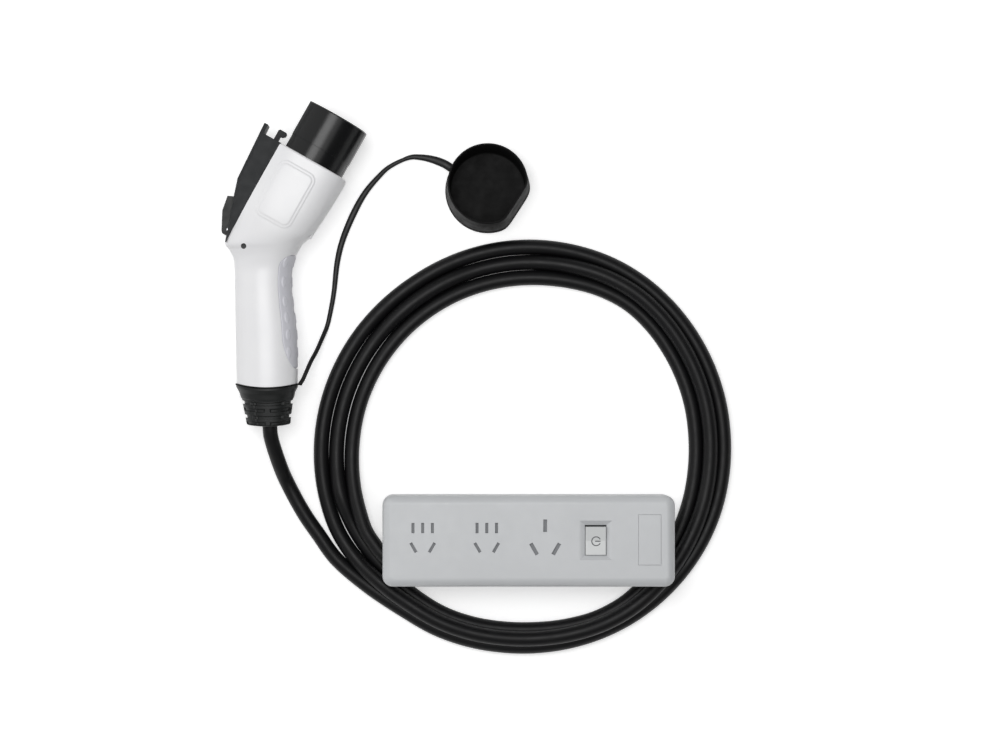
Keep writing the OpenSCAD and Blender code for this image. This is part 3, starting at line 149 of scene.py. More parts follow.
def add_object(name, data):
    """A new object in the scene, with its mesh or its lamp."""
    made = bpy.data.objects.new(name, data)
    bpy.context.scene.collection.objects.link(made)
    return made


def link_piece(mesh, name, body, material):
    """Puts a mesh in the scene as a smooth piece that rides on a body and material."""
    piece = add_object(name, mesh)
    mesh.polygons.foreach_set("use_smooth", np.ones(len(mesh.polygons), bool))
    mesh.materials.clear()
    mesh.materials.append(material)
    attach(piece, body)
    return piece


def outward(mesh):
    """Merges doubled points and turns every face outwards."""
    work = bmesh.new()
    work.from_mesh(mesh)
    bmesh.ops.remove_doubles(work, verts=work.verts, dist=1e-7)
    bmesh.ops.recalc_face_normals(work, faces=work.faces)
    work.to_mesh(mesh)
    work.free()
    return mesh


def ring_mesh(name, points, caps=True, uv=False):
    """A mesh from rings of points, an array of shape (rings, points in a ring, 3).

    Caps close the first and the last ring. The map, where asked for, runs along the rings in metres and once
    round each of them."""
    rows, columns = points.shape[:2]
    faces = grid_faces(rows, columns, wrap_columns=True).tolist()
    if caps:
        faces += [list(range(columns))[::-1], [(rows - 1) * columns + k for k in range(columns)]]
    mesh = bpy.data.meshes.new(name)
    mesh.from_pydata(points.reshape(-1, 3).tolist(), [], faces)
    if uv:
        layer = mesh.uv_layers.new(name="along")
        corner = np.empty(len(mesh.loops), int)
        mesh.loops.foreach_get("vertex_index", corner)
        run = running(points.mean(1))
        across = (corner % columns) / columns
        layer.data.foreach_set("uv", np.stack([run[corner // columns], across], 1).ravel())
    return mesh


def ring_piece(name, points, material, sharp=None, uv=False):
    """A closed piece on the adapter's body, made of rings. Edges over sharp degrees stay crisp."""
    mesh = outward(ring_mesh(name, points, uv=uv))
    piece = link_piece(mesh, name, "adapter", material)
    if sharp:
        mesh.set_sharp_from_angle(angle=math.radians(sharp))
    return piece


def tube_grid(line, radius, sides):
    """Rings round a line. The ring's frame is carried along without twisting: each side direction is the
    last one less its part along the new direction. Radius is one value or one per point."""
    way = np.gradient(line, axis=0)
    way /= np.linalg.norm(way, axis=1)[:, None]
    side = np.zeros_like(line)
    first = np.cross(way[0], [0, 0, 1.0])
    side[0] = first / np.linalg.norm(first)
    for k in range(1, len(line)):
        s = side[k - 1] - way[k] * side[k - 1].dot(way[k])
        side[k] = s / np.linalg.norm(s)
    up = np.cross(side, way)
    turn = np.linspace(0, 2 * np.pi, sides, endpoint=False)
    radius = np.broadcast_to(radius, len(line))[:, None, None]
    ring = np.cos(turn)[None, :, None] * side[:, None, :] + np.sin(turn)[None, :, None] * up[:, None, :]
    return line[:, None, :] + radius * ring


# %% [markdown]
# ## The lead's route
# The lead is a stiff cable, 13 mm thick. It leaves the strain relief level, sinks to the table and joins the
# coil at the lower left. It runs three times round, each turn inside the last, and slips under the strip,
# where it rises to the grommet. The turns lie between an outer and an inner line, whose distances from the
# coil's middle were measured on the photograph and change smoothly round it. Where the room between them is
# less than three cables, the middle one rides up. The tail turns in under the strip's end.

# %% The lead's route
# The cable's thickness in the coil, in millimetres
CABLE = 13.4
# Angle round the coil and the outermost cable's distance from the middle, and the same for the innermost
OUTER_REACH = np.array([
    [-60, 174.9], [-20, 176.9], [0, 176.5], [30, 178.1], [60, 180.3], [90, 177.7], [125, 173.7],
    [150, 175], [180, 177.4], [200, 178.2], [240, 175.5], [265, 173.1], [285, 173.7], [300, 174.9],
])
INNER_REACH = np.array([
    [-60, 163.5], [-25, 154.5], [0, 152.1], [30, 155], [55, 159], [80, 152], [100, 149.3], [125, 147.8],
    [150, 147.8], [180, 150], [200, 153.5], [220, 158.5], [240, 161.5], [270, 158.3], [285, 160.5],
    [300, 163.5],
])
SMOOTHING = 15
# Where the cable comes in beside the coil: angle, and distance from the middle
JOINING = np.array([[211, 190], [222, 181.5]])
# The angles go on counting from turn to turn. The cable slips inwards by one turn at two of them, and takes
# so many degrees for it
COIL_FROM, COIL_TO, TAIL_FROM = 234, 1285, 1250
SLIPS = ((564, 34), (910, 48))
# The grommet's height over the strip's reference point
GROMMET_RISE = 9.4


def around(table, angle):
    """A distance from such a table at any angle in degrees: its closed line, averaged over some degrees."""
    degrees = np.arange(360)
    plain = np.interp(degrees + table[0, 0], table[:, 0], table[:, 1])
    window = np.hanning(2 * SMOOTHING + 1)
    soft = np.convolve(np.pad(plain, SMOOTHING, "wrap"), window / window.sum(), "valid")
    return np.interp(np.asarray(angle) - table[0, 0], degrees, soft, period=360)


def turn_place(angle, inwards):
    """A centre of the cable in the coil, in millimetres from the coil's middle. Inwards is 0 on the outer
    circle and 2 on the inner one; between them the place is mixed, and it is lifted so that neighbours
    that are closer than a cable's width lie on each other."""
    a = np.radians(angle)
    way = np.stack([np.cos(a), np.sin(a)], -1)
    outer, inner = around(OUTER_REACH, angle), around(INNER_REACH, angle)
    flat = way * (outer + (inner - outer) * inwards / 2)[:, None]
    apart = (outer - inner) / 2
    # The lift grows over the first half of the first slip, and is gone soon after the second one starts
    climbed = smooth_step(np.minimum(2 * inwards, 6 - 5 * inwards))
    lift = np.sqrt(np.clip(CABLE**2 - apart**2, 0, None)) * climbed
    return np.column_stack([flat, CABLE / 2 + lift])


def lead_route():
    """The whole route, as a list of places in metres."""
    start = PLUG + MM * np.array([
        [5.2, -137, 0], [5.2, -143, 0], [5.2, -149, 0], [6.2, -161, -3.5], [12.6, -183, -16],
        [19.7, -201, -26.5], [33.1, -226, -28.5], [46.7, -246, -28.5],
    ])
    at = np.radians(JOINING[:, 0])
    joining = JOINING[:, 1:] * np.column_stack([np.cos(at), np.sin(at)])
    joining = np.column_stack([joining, np.full(len(at), LEAD_WIDTH / MM / 2)])
    angle = np.arange(COIL_FROM, COIL_TO, 10.0)
    inwards = sum(smooth_step((angle - begin) / degrees) for begin, degrees in SLIPS)
    turns = turn_place(angle, inwards)
    # The tail goes on from the innermost turn, bends under the strip's end with a radius of four of its
    # diameters, and rises all along to the grommet
    heading = np.radians(np.linspace(57.6, 0, 8))
    arc = np.column_stack([-np.sin(heading), 1 - np.cos(heading)])
    bend = np.array([-90.1, -28.4]) + 4 * LEAD_WIDTH / MM * arc
    under = np.vstack([[[-139.9, 4.4]], bend, [[-79, -27.6], [-67.6, -26.7], [-59.6, -26.7], [-46, -26.7]]])
    under += (STRIP - COIL)[:2] / MM
    flat = np.vstack([turns[angle > TAIL_FROM, :2], under])
    run = running(flat)
    low, high = CABLE / 2, STRIP[2] / MM + GROMMET_RISE
    tail = np.column_stack([flat, low + (high - low) * smooth_step(run / run[-3])])
    return np.vstack([start, COIL + MM * np.vstack([joining, turns[angle <= TAIL_FROM], tail])])


lead_line = smooth_line(lead_route(), 1100)

# %% [markdown]
# ## The tether's route
# The cap hangs on a thin rubber tether. It leaves an ear beside the strain relief, drops to the table,
# and runs on it in one loose S to the foot of the cap.

# %% The tether's route
# The tether's height on the table, under the plug's reference point
TETHER_LOW = (TETHER_WIDTH / 2 - PLUG[2]) / MM
tether_places = np.array([
    [31.2, -113.9, 0], [33.8, -109.9, -2.5], [36.2, -104, -8], [40.4, -94, -16], [45.4, -84.3, -22],
    [50, -73.4, -29], [54.2, -62.9, TETHER_LOW], [57.2, -50, TETHER_LOW], [60.2, -32.9, TETHER_LOW],
    [63.2, -6.3, TETHER_LOW], [68.2, 14, TETHER_LOW], [77.6, 36.6, TETHER_LOW],
])
from_cap = np.array([
    [-107.4, -6.5], [-95.5, 7.8], [-85.2, 17], [-68.9, 24.6], [-58.3, 25], [-47.9, 23.1], [-38, 19.5],
    [-31.2, 15.4],
])
to_cap = (CAP[:2] - PLUG[:2]) / MM + from_cap
to_cap = np.column_stack([to_cap, np.full(len(to_cap), TETHER_LOW)])
tether_line = smooth_line(PLUG + MM * np.vstack([tether_places, to_cap]), 220)
# Share of the way, and how much wider than thick the strap is there
TETHER_WIDE = np.array([
    [0, 1.05], [0.15, 1.1], [0.35, 1.3], [0.45, 1.5], [0.6, 1.75], [0.7, 1.5], [0.78, 1.2], [0.84, 1.05],
    [0.89, 1.5], [0.95, 2.1], [1, 2.2],
])

# %% [markdown]
# ## Finishes
# Every surface is moulded plastic, rubber or plated metal. A moulded surface is never one flat colour: it
# has a fine grain that breaks up its gloss, and very slight cloudiness. One function builds that from noise
# in the piece's own coordinates, with the numbers that tell one finish from another as its arguments.

# %% Finish helpers
# How many times a metre the clouds of colour and the changes of gloss repeat
CLOUDS, WEAR = 18, 140


def colour(r, g, b):
    """An sRGB colour, 0 to 255, as the linear values that a shader wants."""
    c = np.array([r, g, b]) / 255
    c = np.where(c <= 0.04045, c / 12.92, ((c + 0.055) / 1.055) ** 2.4)
    return tuple(float(v) for v in c) + (1.0,)


def add_node(tree, kind, values=None):
    """A new shader node, with the values of some of its inputs."""
    node = tree.nodes.new(kind)
    for name, value in (values or {}).items():
        node.inputs[name].default_value = value
    return node


def join(tree, *links):
    """Links nodes: each link is a node and its output, and a second node and its input."""
    for source, output, target, entry in links:
        tree.links.new(source.outputs[output], target.inputs[entry])


def new_finish(name):
    """An empty material with its node tree, principled shader and object coordinates."""
    material = bpy.data.materials.new(name)
    material.use_nodes = True
    tree = material.node_tree
    shader = tree.nodes["Principled BSDF"]
    place = add_node(tree, "ShaderNodeTexCoord")
    return material, tree, shader, place


def noise(tree, place, scale, detail):
    """A noise texture over the object's own coordinates, in turns per metre."""
    node = add_node(tree, "ShaderNodeTexNoise", {"Scale": scale, "Detail": detail})
    join(tree, (place, "Object", node, "Vector"))
    return node


def spread(tree, source, low, high):
    """A noise's middle range, 0.3 to 0.7, stretched to the values from low to high."""
    ends = {"From Min": 0.3, "From Max": 0.7, "To Min": low, "To Max": high}
    node = add_node(tree, "ShaderNodeMapRange", ends)
    join(tree, (source, "Fac", node, "Value"))
    return node


def moulded(name, light, dark, rough, grain, depth, metallic=0.0, ior=1.46):
    """A moulded finish: its colour drifts from light to dark in soft clouds, its roughness varies between
    two values with a second noise, and a fine grain of that many turns per metre lifts the surface by a
    depth in thousandths of a millimetre. Light and dark are sRGB colours, 0 to 255."""
    material, tree, shader, place = new_finish(name)
    clouds = noise(tree, place, CLOUDS, 3)
    drift = spread(tree, clouds, 0, 1)
    mix = add_node(tree, "ShaderNodeMix")
    mix.data_type = "RGBA"
    mix.inputs["A"].default_value = colour(*light)
    mix.inputs["B"].default_value = colour(*dark)
    gloss = spread(tree, noise(tree, place, WEAR, 4), *rough)
    fine = noise(tree, place, grain, 2)
    bump = add_node(tree, "ShaderNodeBump", {"Distance": depth * MM / 1000, "Strength": 0.6})
    join(tree,
         (drift, "Result", mix, "Factor"), (mix, "Result", shader, "Base Color"),
         (gloss, "Result", shader, "Roughness"),
         (fine, "Fac", bump, "Height"), (bump, "Normal", shader, "Normal"))
    shader.inputs["Metallic"].default_value = metallic
    shader.inputs["IOR"].default_value = ior
    return material


# %% The finishes
white_shell = moulded("white_shell", (240, 240, 241), (235, 235, 237), (0.3, 0.34), 2600, 10)
nose_black = moulded("nose_black", (14, 15, 16), (12, 13, 14), (0.23, 0.25), 3200, 2, ior=1.36)
latch_black = moulded("latch_black", (30, 32, 34), (27, 29, 31), (0.46, 0.54), 2800, 10, ior=1.3)
button_black = moulded("button_black", (28, 30, 30), (24, 25, 25), (0.45, 0.55), 2400, 20, ior=1.4)
boot_rubber = moulded("boot_rubber", (22, 24, 24), (16, 18, 18), (0.4, 0.5), 2400, 20, ior=1.42)
cap_rubber = moulded("cap_rubber", (12, 12, 12), (9, 9, 9), (0.6, 0.75), 2000, 40, ior=1.28)
tether_rubber = moulded("tether_rubber", (18, 18, 19), (13, 13, 14), (0.4, 0.5), 2400, 10, ior=1.4)
lead_black = moulded("lead_black", (13, 13, 14), (10, 10, 12), (0.4, 0.48), 3000, 8, ior=1.31)
grip_grey = moulded("grip_grey", (219, 219, 225), (211, 211, 218), (0.4, 0.5), 2600, 30)
strip_grey = moulded("strip_grey", (200, 202, 204), (196, 198, 200), (0.34, 0.46), 2600, 30)
rocker_grey = moulded("rocker_grey", (212, 214, 214), (207, 209, 209), (0.3, 0.4), 2600, 20)
sign_ink = moulded("sign_ink", (98, 100, 102), (92, 94, 96), (0.4, 0.5), 2600, 10)
inner_grey = moulded("inner_grey", (136, 138, 141), (128, 130, 133), (0.5, 0.6), 2000, 40)
inner_black = moulded("inner_black", (48, 49, 50), (40, 41, 42), (0.5, 0.6), 2000, 40)
steel = moulded("steel", (190, 190, 193), (170, 170, 175), (0.22, 0.34), 1500, 10, metallic=1.0)
dark_steel = moulded("dark_steel", (92, 92, 96), (76, 76, 80), (0.3, 0.42), 1500, 10, metallic=1.0)
plated_pin = moulded("plated_pin", (214, 210, 200), (196, 192, 182), (0.18, 0.28), 1500, 10, metallic=1.0)
brass = moulded("brass", (214, 178, 104), (196, 158, 88), (0.25, 0.36), 1500, 10, metallic=1.0)
core_brown = moulded("core_brown", (112, 74, 52), (98, 62, 42), (0.4, 0.5), 1500, 10)
board_green = moulded("board_green", (38, 96, 58), (30, 84, 50), (0.35, 0.45), 1500, 10)

# %% [markdown]
# ## Dressing the CAD's own pieces
# Prismatic pieces are right as they are, but a moulding has no knife edges, and an edge without a radius
# catches no light. A dressed copy merges the CAD's loose triangles, joins the flat ones into whole faces,
# and gives every sharp edge a small radius.

# %% Dressed copies
# From this angle in degrees on, an edge is sharp and gets its radius
SHARP = 32


def dressed(node, body, material, radius):
    """A copy of a CAD node with its doubles merged, its flat faces joined, its sharp edges rounded by a
    radius in millimetres, and smooth shading between."""
    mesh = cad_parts[node].data.copy()
    mesh.name = node + "_dressed"
    work = bmesh.new()
    work.from_mesh(mesh)
    bmesh.ops.remove_doubles(work, verts=work.verts, dist=2e-6)
    bmesh.ops.dissolve_limit(work, angle_limit=math.radians(0.6), verts=work.verts, edges=work.edges)
    work.to_mesh(mesh)
    work.free()
    piece = link_piece(mesh, node + "_dressed", body, material)
    mesh.set_sharp_from_angle(angle=math.radians(SHARP))
    bevel = piece.modifiers.new("edges", "BEVEL")
    bevel.width = radius * MM
    bevel.segments = 2
    bevel.limit_method = "ANGLE"
    bevel.angle_limit = math.radians(SHARP)
    bevel.use_clamp_overlap = True
    # The large faces decide the shading at their corners, so that a flat face looks flat
    weigh = piece.modifiers.new("shading", "WEIGHTED_NORMAL")
    weigh.keep_sharp = True
    weigh.weight = 80
    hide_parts(node)
    return piece


for node, material in {
    "nose": nose_black, "pin_retainer": inner_black, "nose_seal": cap_rubber,
    "sensing_board": board_green, "release_switch": inner_black, "cable_clamp": inner_grey,
    "shell_screws": inner_black, "cover_screws": dark_steel, "strip_screws": steel,
    "lever_pin": steel, "button_pin": steel, "lever_spring": steel,
    "strip_grommet": cap_rubber, "cord_clamp": strip_grey, "switch_body": inner_grey,
    "live_bar": brass, "neutral_bar": brass, "earth_bar": brass,
    "plug_cores": core_brown, "strip_cores": core_brown,
    "pin_line": plated_pin, "pin_earth": plated_pin, "pin_neutral": plated_pin,
    "pin_control": plated_pin, "pin_proximity": plated_pin,
    "shutter_1": inner_grey, "shutter_2": inner_grey, "shutter_3": inner_grey,
}.items():
    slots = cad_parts[node].data.materials
    for k in range(len(slots)):
        slots[k] = material

dressed("nose", "adapter", nose_black, 0.3)
dressed("latch_cover", "adapter", latch_black, 0.5)
dressed("latch_lever", "latch_lever", latch_black, 0.4)
dressed("thumb_button", "thumb_button", button_black, 0.7)
collar = dressed("tether_ring", "adapter", cap_rubber, 0.2)
dressed("strip_cover", "adapter", strip_grey, 0.3)
dressed("strip_base", "adapter", strip_grey, 0.4)
dressed("blank_plate", "adapter", strip_grey, 0.25)
rocker = dressed("rocker", "rocker", rocker_grey, 0.5)

# %% [markdown]
# ### The sign on the rocker
# The rocker carries a printed sign, a ring with a gap and a bar. It is a thin sheet of ink, laid on the
# sloping faces by looking straight down on them at every point.

# %% Power sign
SIGN_AT = (STRIP[0] + 58 * MM, STRIP[1] + 0.1 * MM)
# Radius of the ring, half the width of a line, where the bar starts, and half the thickness of the ink, in
# millimetres, and half the ring's gap in degrees
SIGN_RADIUS, SIGN_LINE, BAR_FROM, INK = 3.8, 0.45, -0.9, 0.04
SIGN_GAP = 26
# The height that the faces are looked down on from
ABOVE = 0.2


def laid_on(piece, flat):
    """Heights of a piece's surface at places given across and along in metres, seen straight from above."""
    ready = piece.evaluated_get(bpy.context.evaluated_depsgraph_get())
    hits = [ready.ray_cast((x, y, ABOVE), (0, 0, -1)) for x, y in flat.reshape(-1, 2).tolist()]
    return np.array([place[2] for _, place, _, _ in hits]).reshape(flat.shape[:-1])


def ink(name, flat):
    """A closed sheet of ink over a grid of places across and along: its top stands a little proud."""
    height = laid_on(rocker, flat)
    top = np.concatenate([flat, (height + INK * MM)[..., None]], -1)
    under = np.concatenate([flat, (height - INK * MM)[..., None]], -1)
    return ring_mesh(name, np.concatenate([top, under[:, ::-1]], axis=1))


bpy.context.view_layer.update()
round_it = np.radians(np.linspace(SIGN_GAP, 360 - SIGN_GAP, 61))[:, None]
reach = np.linspace(SIGN_RADIUS - SIGN_LINE, SIGN_RADIUS + SIGN_LINE, 3)
ring = np.array(SIGN_AT) + MM * np.stack([reach * np.cos(round_it), reach * np.sin(round_it)], -1)
width = np.linspace(-SIGN_LINE, SIGN_LINE, 3)
bar = np.stack(np.meshgrid(np.linspace(BAR_FROM, SIGN_RADIUS, 9), width, indexing="ij"), -1)
bar = np.array(SIGN_AT) + MM * bar
for name, flat in {"sign_ring": ring, "sign_bar": bar}.items():
    link_piece(outward(ink(name, flat)), name, "rocker", sign_ink)

# %% [markdown]
# ## The white shells
# The plug's housing is two glossy white mouldings that meet in a plane. Its shape could be sculpted from a
# cube with subdivision, but it has to keep the CAD's outline exactly, so it is worked out instead: a row of
# sections runs from the strain relief to the nose, each a superellipse between a back and a front point, and
# a smooth curve carries all their numbers from one to the next. The side panel, the grip's recess and the
# seam are then only small changes of depth over that surface.

# %% Sections of the body
# Down the handle: share of its length, of its half width at the back and at the front, and of its thickness
HANDLE_SHARES = np.array([
    [1, 1, 1, 1], [0.88, 1.01, 1.015, 1], [0.73, 1.02, 1, 0.985], [0.56, 1.035, 0.965, 0.965],
    [0.4, 1.045, 0.875, 0.95], [0.25, 1.055, 0.82, 0.95], [0.12, 1.065, 0.845, 0.965],
])
HANDLE_SQUARENESS = 2.2
# Up the head: share of its length at the back and at the front, how far the front stands in, share of the
# thickness, squareness, and flatness of the back
HEAD_SHARES = np.array([
    [0.12, 0.38, -2.8, 0.91, 2.7, 1.12], [0.33, 0.53, -1.5, 0.965, 2.9, 1.28],
    [0.58, 0.69, -0.6, 0.99, 3, 1.38], [0.82, 0.85, -0.1, 1, 3, 1.42], [0.98, 0.98, 0, 1, 3, 1.42],
])
HEAD_BACK, HEAD_FRONT = HEAD_MID - HEAD_WIDTH / 2, HEAD_MID + HEAD_WIDTH / 2
SHELL_WALL, FRONT_EDGE, FRONT_WALL, END_BOW = 2.5, 1.8, 3.0, 3.4
NECK_RADIUS, NECK_FLAT = 26.7, 23.1


def flat_in_head(across, along):
    """The same turn as in_head, in millimetres from the plug's reference point and without a height."""
    return (in_head(across, along) - PLUG)[..., :2] / MM


def body_rows():
    """The sections as rows of seven numbers: back x and y, front x and y, half thickness, squareness and
    the flatness of the back. Three rows for the neck lie between the handle's and the head's."""
    s = HANDLE_SHARES
    handle = np.column_stack([
        HANDLE_MID - s[:, 1] * HANDLE_WIDTH / 2, -s[:, 0] * HANDLE_LENGTH,
        HANDLE_MID + s[:, 2] * HANDLE_WIDTH / 2, -s[:, 0] * HANDLE_LENGTH,
        s[:, 3] * HANDLE_THICK / 2, np.full(len(s), HANDLE_SQUARENESS), np.ones(len(s)),
    ])
    half = HANDLE_THICK / 2
    neck = np.array([
        [-26.6, -4, 28.2, -2, half + 1.5, 2.3, 1], [-29.8, 3, 31.2, 4, half + 4, 2.4, 1.02],
        [*flat_in_head(HEAD_BACK, -8), *flat_in_head(25.6, 24.5), half + 6.5, 2.5, 1.06],
    ])
    h = HEAD_SHARES
    head = np.column_stack([
        flat_in_head(HEAD_BACK, h[:, 0] * HEAD_LENGTH),
        flat_in_head(HEAD_FRONT + h[:, 2], h[:, 1] * HEAD_LENGTH),
        h[:, 3] * HEAD_THICK / 2, h[:, 4:],
    ])
    return np.vstack([handle, neck, head])


def section_at(t):
    """The seven numbers at running places t between the rows, on the smooth curve through them."""
    p = body_rows()
    return on_curve(np.vstack([p[0], p, p[-1]]), t)


def signed_power(v, power):
    """A power of the size of v, with the sign of v."""
    return np.sign(v) * np.abs(v) ** power


def section_points(s, angle, inset):
    """Points of superellipse sections, in millimetres from the plug's reference point.

    With c = cos(angle)^(2/n) and z = sin(angle)^(2/n), kept signed, a point is the section's middle plus c
    times its half width, and z times its half thickness up. The back's half is stretched by the flatness and
    cut off at 1. Inset is taken from both halves. Rows of s go down the result, angles across it."""
    s = s[:, None, :]
    span = s[..., 2:4] - s[..., 0:2]
    half = np.linalg.norm(span, axis=-1) / 2
    power = 2 / s[..., 5]
    across = signed_power(np.cos(angle), power)
    across = np.where(across < 0, np.maximum(across * s[..., 6], -1), across)
    middle = (s[..., 2:4] + s[..., 0:2]) / 2
    flat = middle + span / (2 * half)[..., None] * ((half - inset) * across)[..., None]
    up = (s[..., 4] - inset) * signed_power(np.sin(angle), power)
    return np.concatenate([flat, up[..., None]], -1)


def end_curve(x):
    """How far the shell's lower end bows out at a place across the handle: a parabola, 0 at the edges."""
    return END_BOW * np.clip(1 - (2 * (x - HANDLE_MID) / HANDLE_WIDTH) ** 2, 0, None)


# %% [markdown]
# ### Where the grip's recess and the side panel lie
# The grip is a soft insert over the front of the handle, let in flush. Its border is one curve: how far
# round from the front it reaches at each height. The shell's columns of points are spaced so that one of
# them follows that border, which makes the recess a clean step. The side panel only needs a ramp.

# %% Borders on the shell
GRIP_LOW, GRIP_HIGH = 0.93, 7.07
GRIP_START, GRIP_SPREAD = 20, 40
GRIP_DEPTH = 1.35
PANEL_STEP, PANEL_BAND, PANEL_EASE = 0.5, 2.6, 0.9
PANEL_CENTRE, PANEL_HALF, PANEL_CORNER = (HEAD_MID - 7, 0.59 * HEAD_LENGTH), (18, 27), 8.0


def grip_border(t):
    """How far round the grip reaches, in degrees, at running places t: full between its ends, and falling
    off in a quarter of a superellipse, long at the lower end and short at the upper one."""
    low = np.clip((t - GRIP_LOW) / 1.6, 0, 1)
    high = np.clip((GRIP_HIGH - t) / 1.0, 0, 1)
    fall = (1 - (1 - low) ** 1.6) ** 0.5 * (1 - (1 - high) ** 2.4) ** 0.5
    return GRIP_START + GRIP_SPREAD * fall


def panel_rise(across, along):
    """How far the side panel stands out, in millimetres: the distance from a rounded rectangle, turned into
    two equal steps, the second one a band's width inside the first."""
    x = np.abs(across - PANEL_CENTRE[0]) - PANEL_HALF[0] + PANEL_CORNER
    y = np.abs(along - PANEL_CENTRE[1]) - PANEL_HALF[1] + PANEL_CORNER
    away = np.hypot(np.maximum(x, 0), np.maximum(y, 0)) + np.minimum(np.maximum(x, y), 0) - PANEL_CORNER
    return PANEL_STEP * (smooth_step(-away / PANEL_EASE) + smooth_step(-(away + PANEL_BAND) / PANEL_EASE))


# %% Half shells
SHELL_COLUMNS, GRIP_COLUMNS = 190, 50
SEAM_DEPTH, SEAM_WIDTH = 0.22, 0.8
# The recess drops within these steps, in running places and in degrees
HAIR, DROP = 1e-4, 0.02
# The panel is on the broad face only, over this height
BROAD_FACE = 20
# The running place of the lip inside the front wall
LIP_AT = 13.75
LEDGE_CORNERS = [(22, 31), (HEAD_FRONT - 2.5, 31), (HEAD_FRONT - 3, 51), (22, 51)]
LEDGE_HALF, LEDGE_EDGE = 10, 0.7


def skin_grid():
    """The outside: its running places, its rows of points from the lower end up, and their angles. Columns
    run from the front (0) to the back (180 degrees), and one of them follows the grip's border."""
    t = np.concatenate([
        np.linspace(0, GRIP_LOW, 22), np.linspace(GRIP_LOW + HAIR, GRIP_HIGH, 130),
        np.linspace(GRIP_HIGH + HAIR, 8, 34)[:-1], np.linspace(8, 14, 170),
    ])
    s = section_at(t)
    within = (t > GRIP_LOW) & (t < GRIP_HIGH + HAIR / 2)
    beyond = smooth_step(np.maximum(GRIP_LOW - t, t - GRIP_HIGH) / 1.2)
    border = np.where(within, grip_border(t), GRIP_START + GRIP_SPREAD * beyond)[:, None]
    inner = np.append([0, 0.012], np.linspace(0.035, 1, GRIP_COLUMNS - 2))
    outer = np.append(np.linspace(0, 0.985, SHELL_COLUMNS - GRIP_COLUMNS - 2), [0.993, 1])
    angle = np.radians(np.hstack([border * inner, border + DROP + (180 - border - DROP) * outer]))
    depth = np.zeros_like(angle)
    depth[within, :GRIP_COLUMNS] = GRIP_DEPTH
    seam = np.minimum(np.sin(angle) * s[:, 4:5], SEAM_WIDTH)
    depth += SEAM_DEPTH * (1 - seam / SEAM_WIDTH)
    skin = section_points(s, angle, depth)
    along = skin[..., 0] * math.sin(HEAD_ANGLE) + skin[..., 1] * math.cos(HEAD_ANGLE)
    across = skin[..., 0] * math.cos(HEAD_ANGLE) - skin[..., 1] * math.sin(HEAD_ANGLE)
    skin[..., 2] += panel_rise(across, along) * (skin[..., 2] > BROAD_FACE)
    skin[0, :, 1] -= end_curve(skin[0, :, 0])
    return t, skin, angle


def front_grid(angle):
    """The front edge, a quarter circle of sections, and after it the opening that the nose's neck passes
    through, a circle with one flat."""
    turn = np.linspace(0, math.pi / 2, 5)[1:]
    give = FRONT_EDGE * (1 - np.cos(turn))
    reach = HEAD_LENGTH - FRONT_EDGE * (1 - np.sin(turn))
    edge = np.column_stack([
        flat_in_head(HEAD_BACK + give, reach), flat_in_head(HEAD_FRONT - give, reach),
        HEAD_THICK / 2 - give, np.tile(HEAD_SHARES[-1, 4:], (len(turn), 1)),
    ])
    mouth = NOSE_AXIS + np.maximum(NECK_RADIUS * np.cos(angle), -NECK_FLAT)
    height = NECK_RADIUS * np.sin(angle)
    opening = [
        np.column_stack([flat_in_head(mouth, np.full(SHELL_COLUMNS, HEAD_LENGTH - back)), height])
        for back in (0, FRONT_WALL)
    ]
    return np.concatenate([section_points(edge, angle[None], 0), opening])


def inside_grid(t):
    """The inside at running places t, the last of them at the lower end: plainer, with even columns."""
    even = np.radians(np.linspace(0, 180, SHELL_COLUMNS))[None]
    inside = section_points(section_at(t), even, SHELL_WALL)
    inside[-1, :, 1] -= end_curve(inside[-1, :, 0])
    return inside


def half_shell(name, side):
    """One half of the housing as a closed mesh. Rows run up the outside, round the front edge, through the
    nose's opening and back down the inside."""
    t, skin, angle = skin_grid()
    front = front_grid(angle[-1])
    # Every tenth row has one on the inside
    core_rows = np.append(np.arange(len(t) - 12, 0, -10), 0)
    grid = np.concatenate([skin, front, inside_grid(np.append(LIP_AT, t[core_rows]))])
    grid[:, [0, -1], 2] = 0
    grid[..., 2] *= side
    faces = grid_faces(len(grid), SHELL_COLUMNS, wrap_rows=True).tolist()

    # The parting face: strips between the outside and the inside, on both edges. The first one goes round
    # the front wall, from the last row of the skin to the lip
    last_skin, lip_row = len(skin) - 1, len(skin) + len(front)
    strips = [list(range(last_skin, lip_row + 1))]
    pairs = [(last_skin, lip_row)] + [(r, lip_row + 1 + k) for k, r in enumerate(core_rows.tolist())]
    for (a, b), (c, d) in zip(pairs, pairs[1:]):
        strips.append(list(range(c, a + 1)) + [b, d])
    for column in (0, SHELL_COLUMNS - 1):
        faces += [[r * SHELL_COLUMNS + column for r in strip] for strip in strips]

    mesh = bpy.data.meshes.new(name)
    mesh.from_pydata((PLUG + MM * grid.reshape(-1, 3)).tolist(), [], faces)
    outward(mesh)
    return with_ledge(mesh, side)


def with_ledge(mesh, side):
    """Adds this half's part of the small ledge under the head, a block with rounded edges."""
    work = bmesh.new()
    ring = [[work.verts.new(in_head(x, y, z)) for x, y in LEDGE_CORNERS] for z in (0, LEDGE_HALF * side)]
    work.faces.new(ring[0])
    work.faces.new(ring[1])
    for k in range(4):
        work.faces.new([ring[0][k], ring[0][(k + 1) % 4], ring[1][(k + 1) % 4], ring[1][k]])
    outer_edges = [e for e in work.edges if not all(v in ring[0] for v in e.verts)]
    bmesh.ops.bevel(work, geom=outer_edges, offset=LEDGE_EDGE * MM, segments=3, profile=0.5, affect="EDGES")
    bmesh.ops.recalc_face_normals(work, faces=work.faces)
    work.from_mesh(mesh)
    work.to_mesh(mesh)
    work.free()
    return mesh


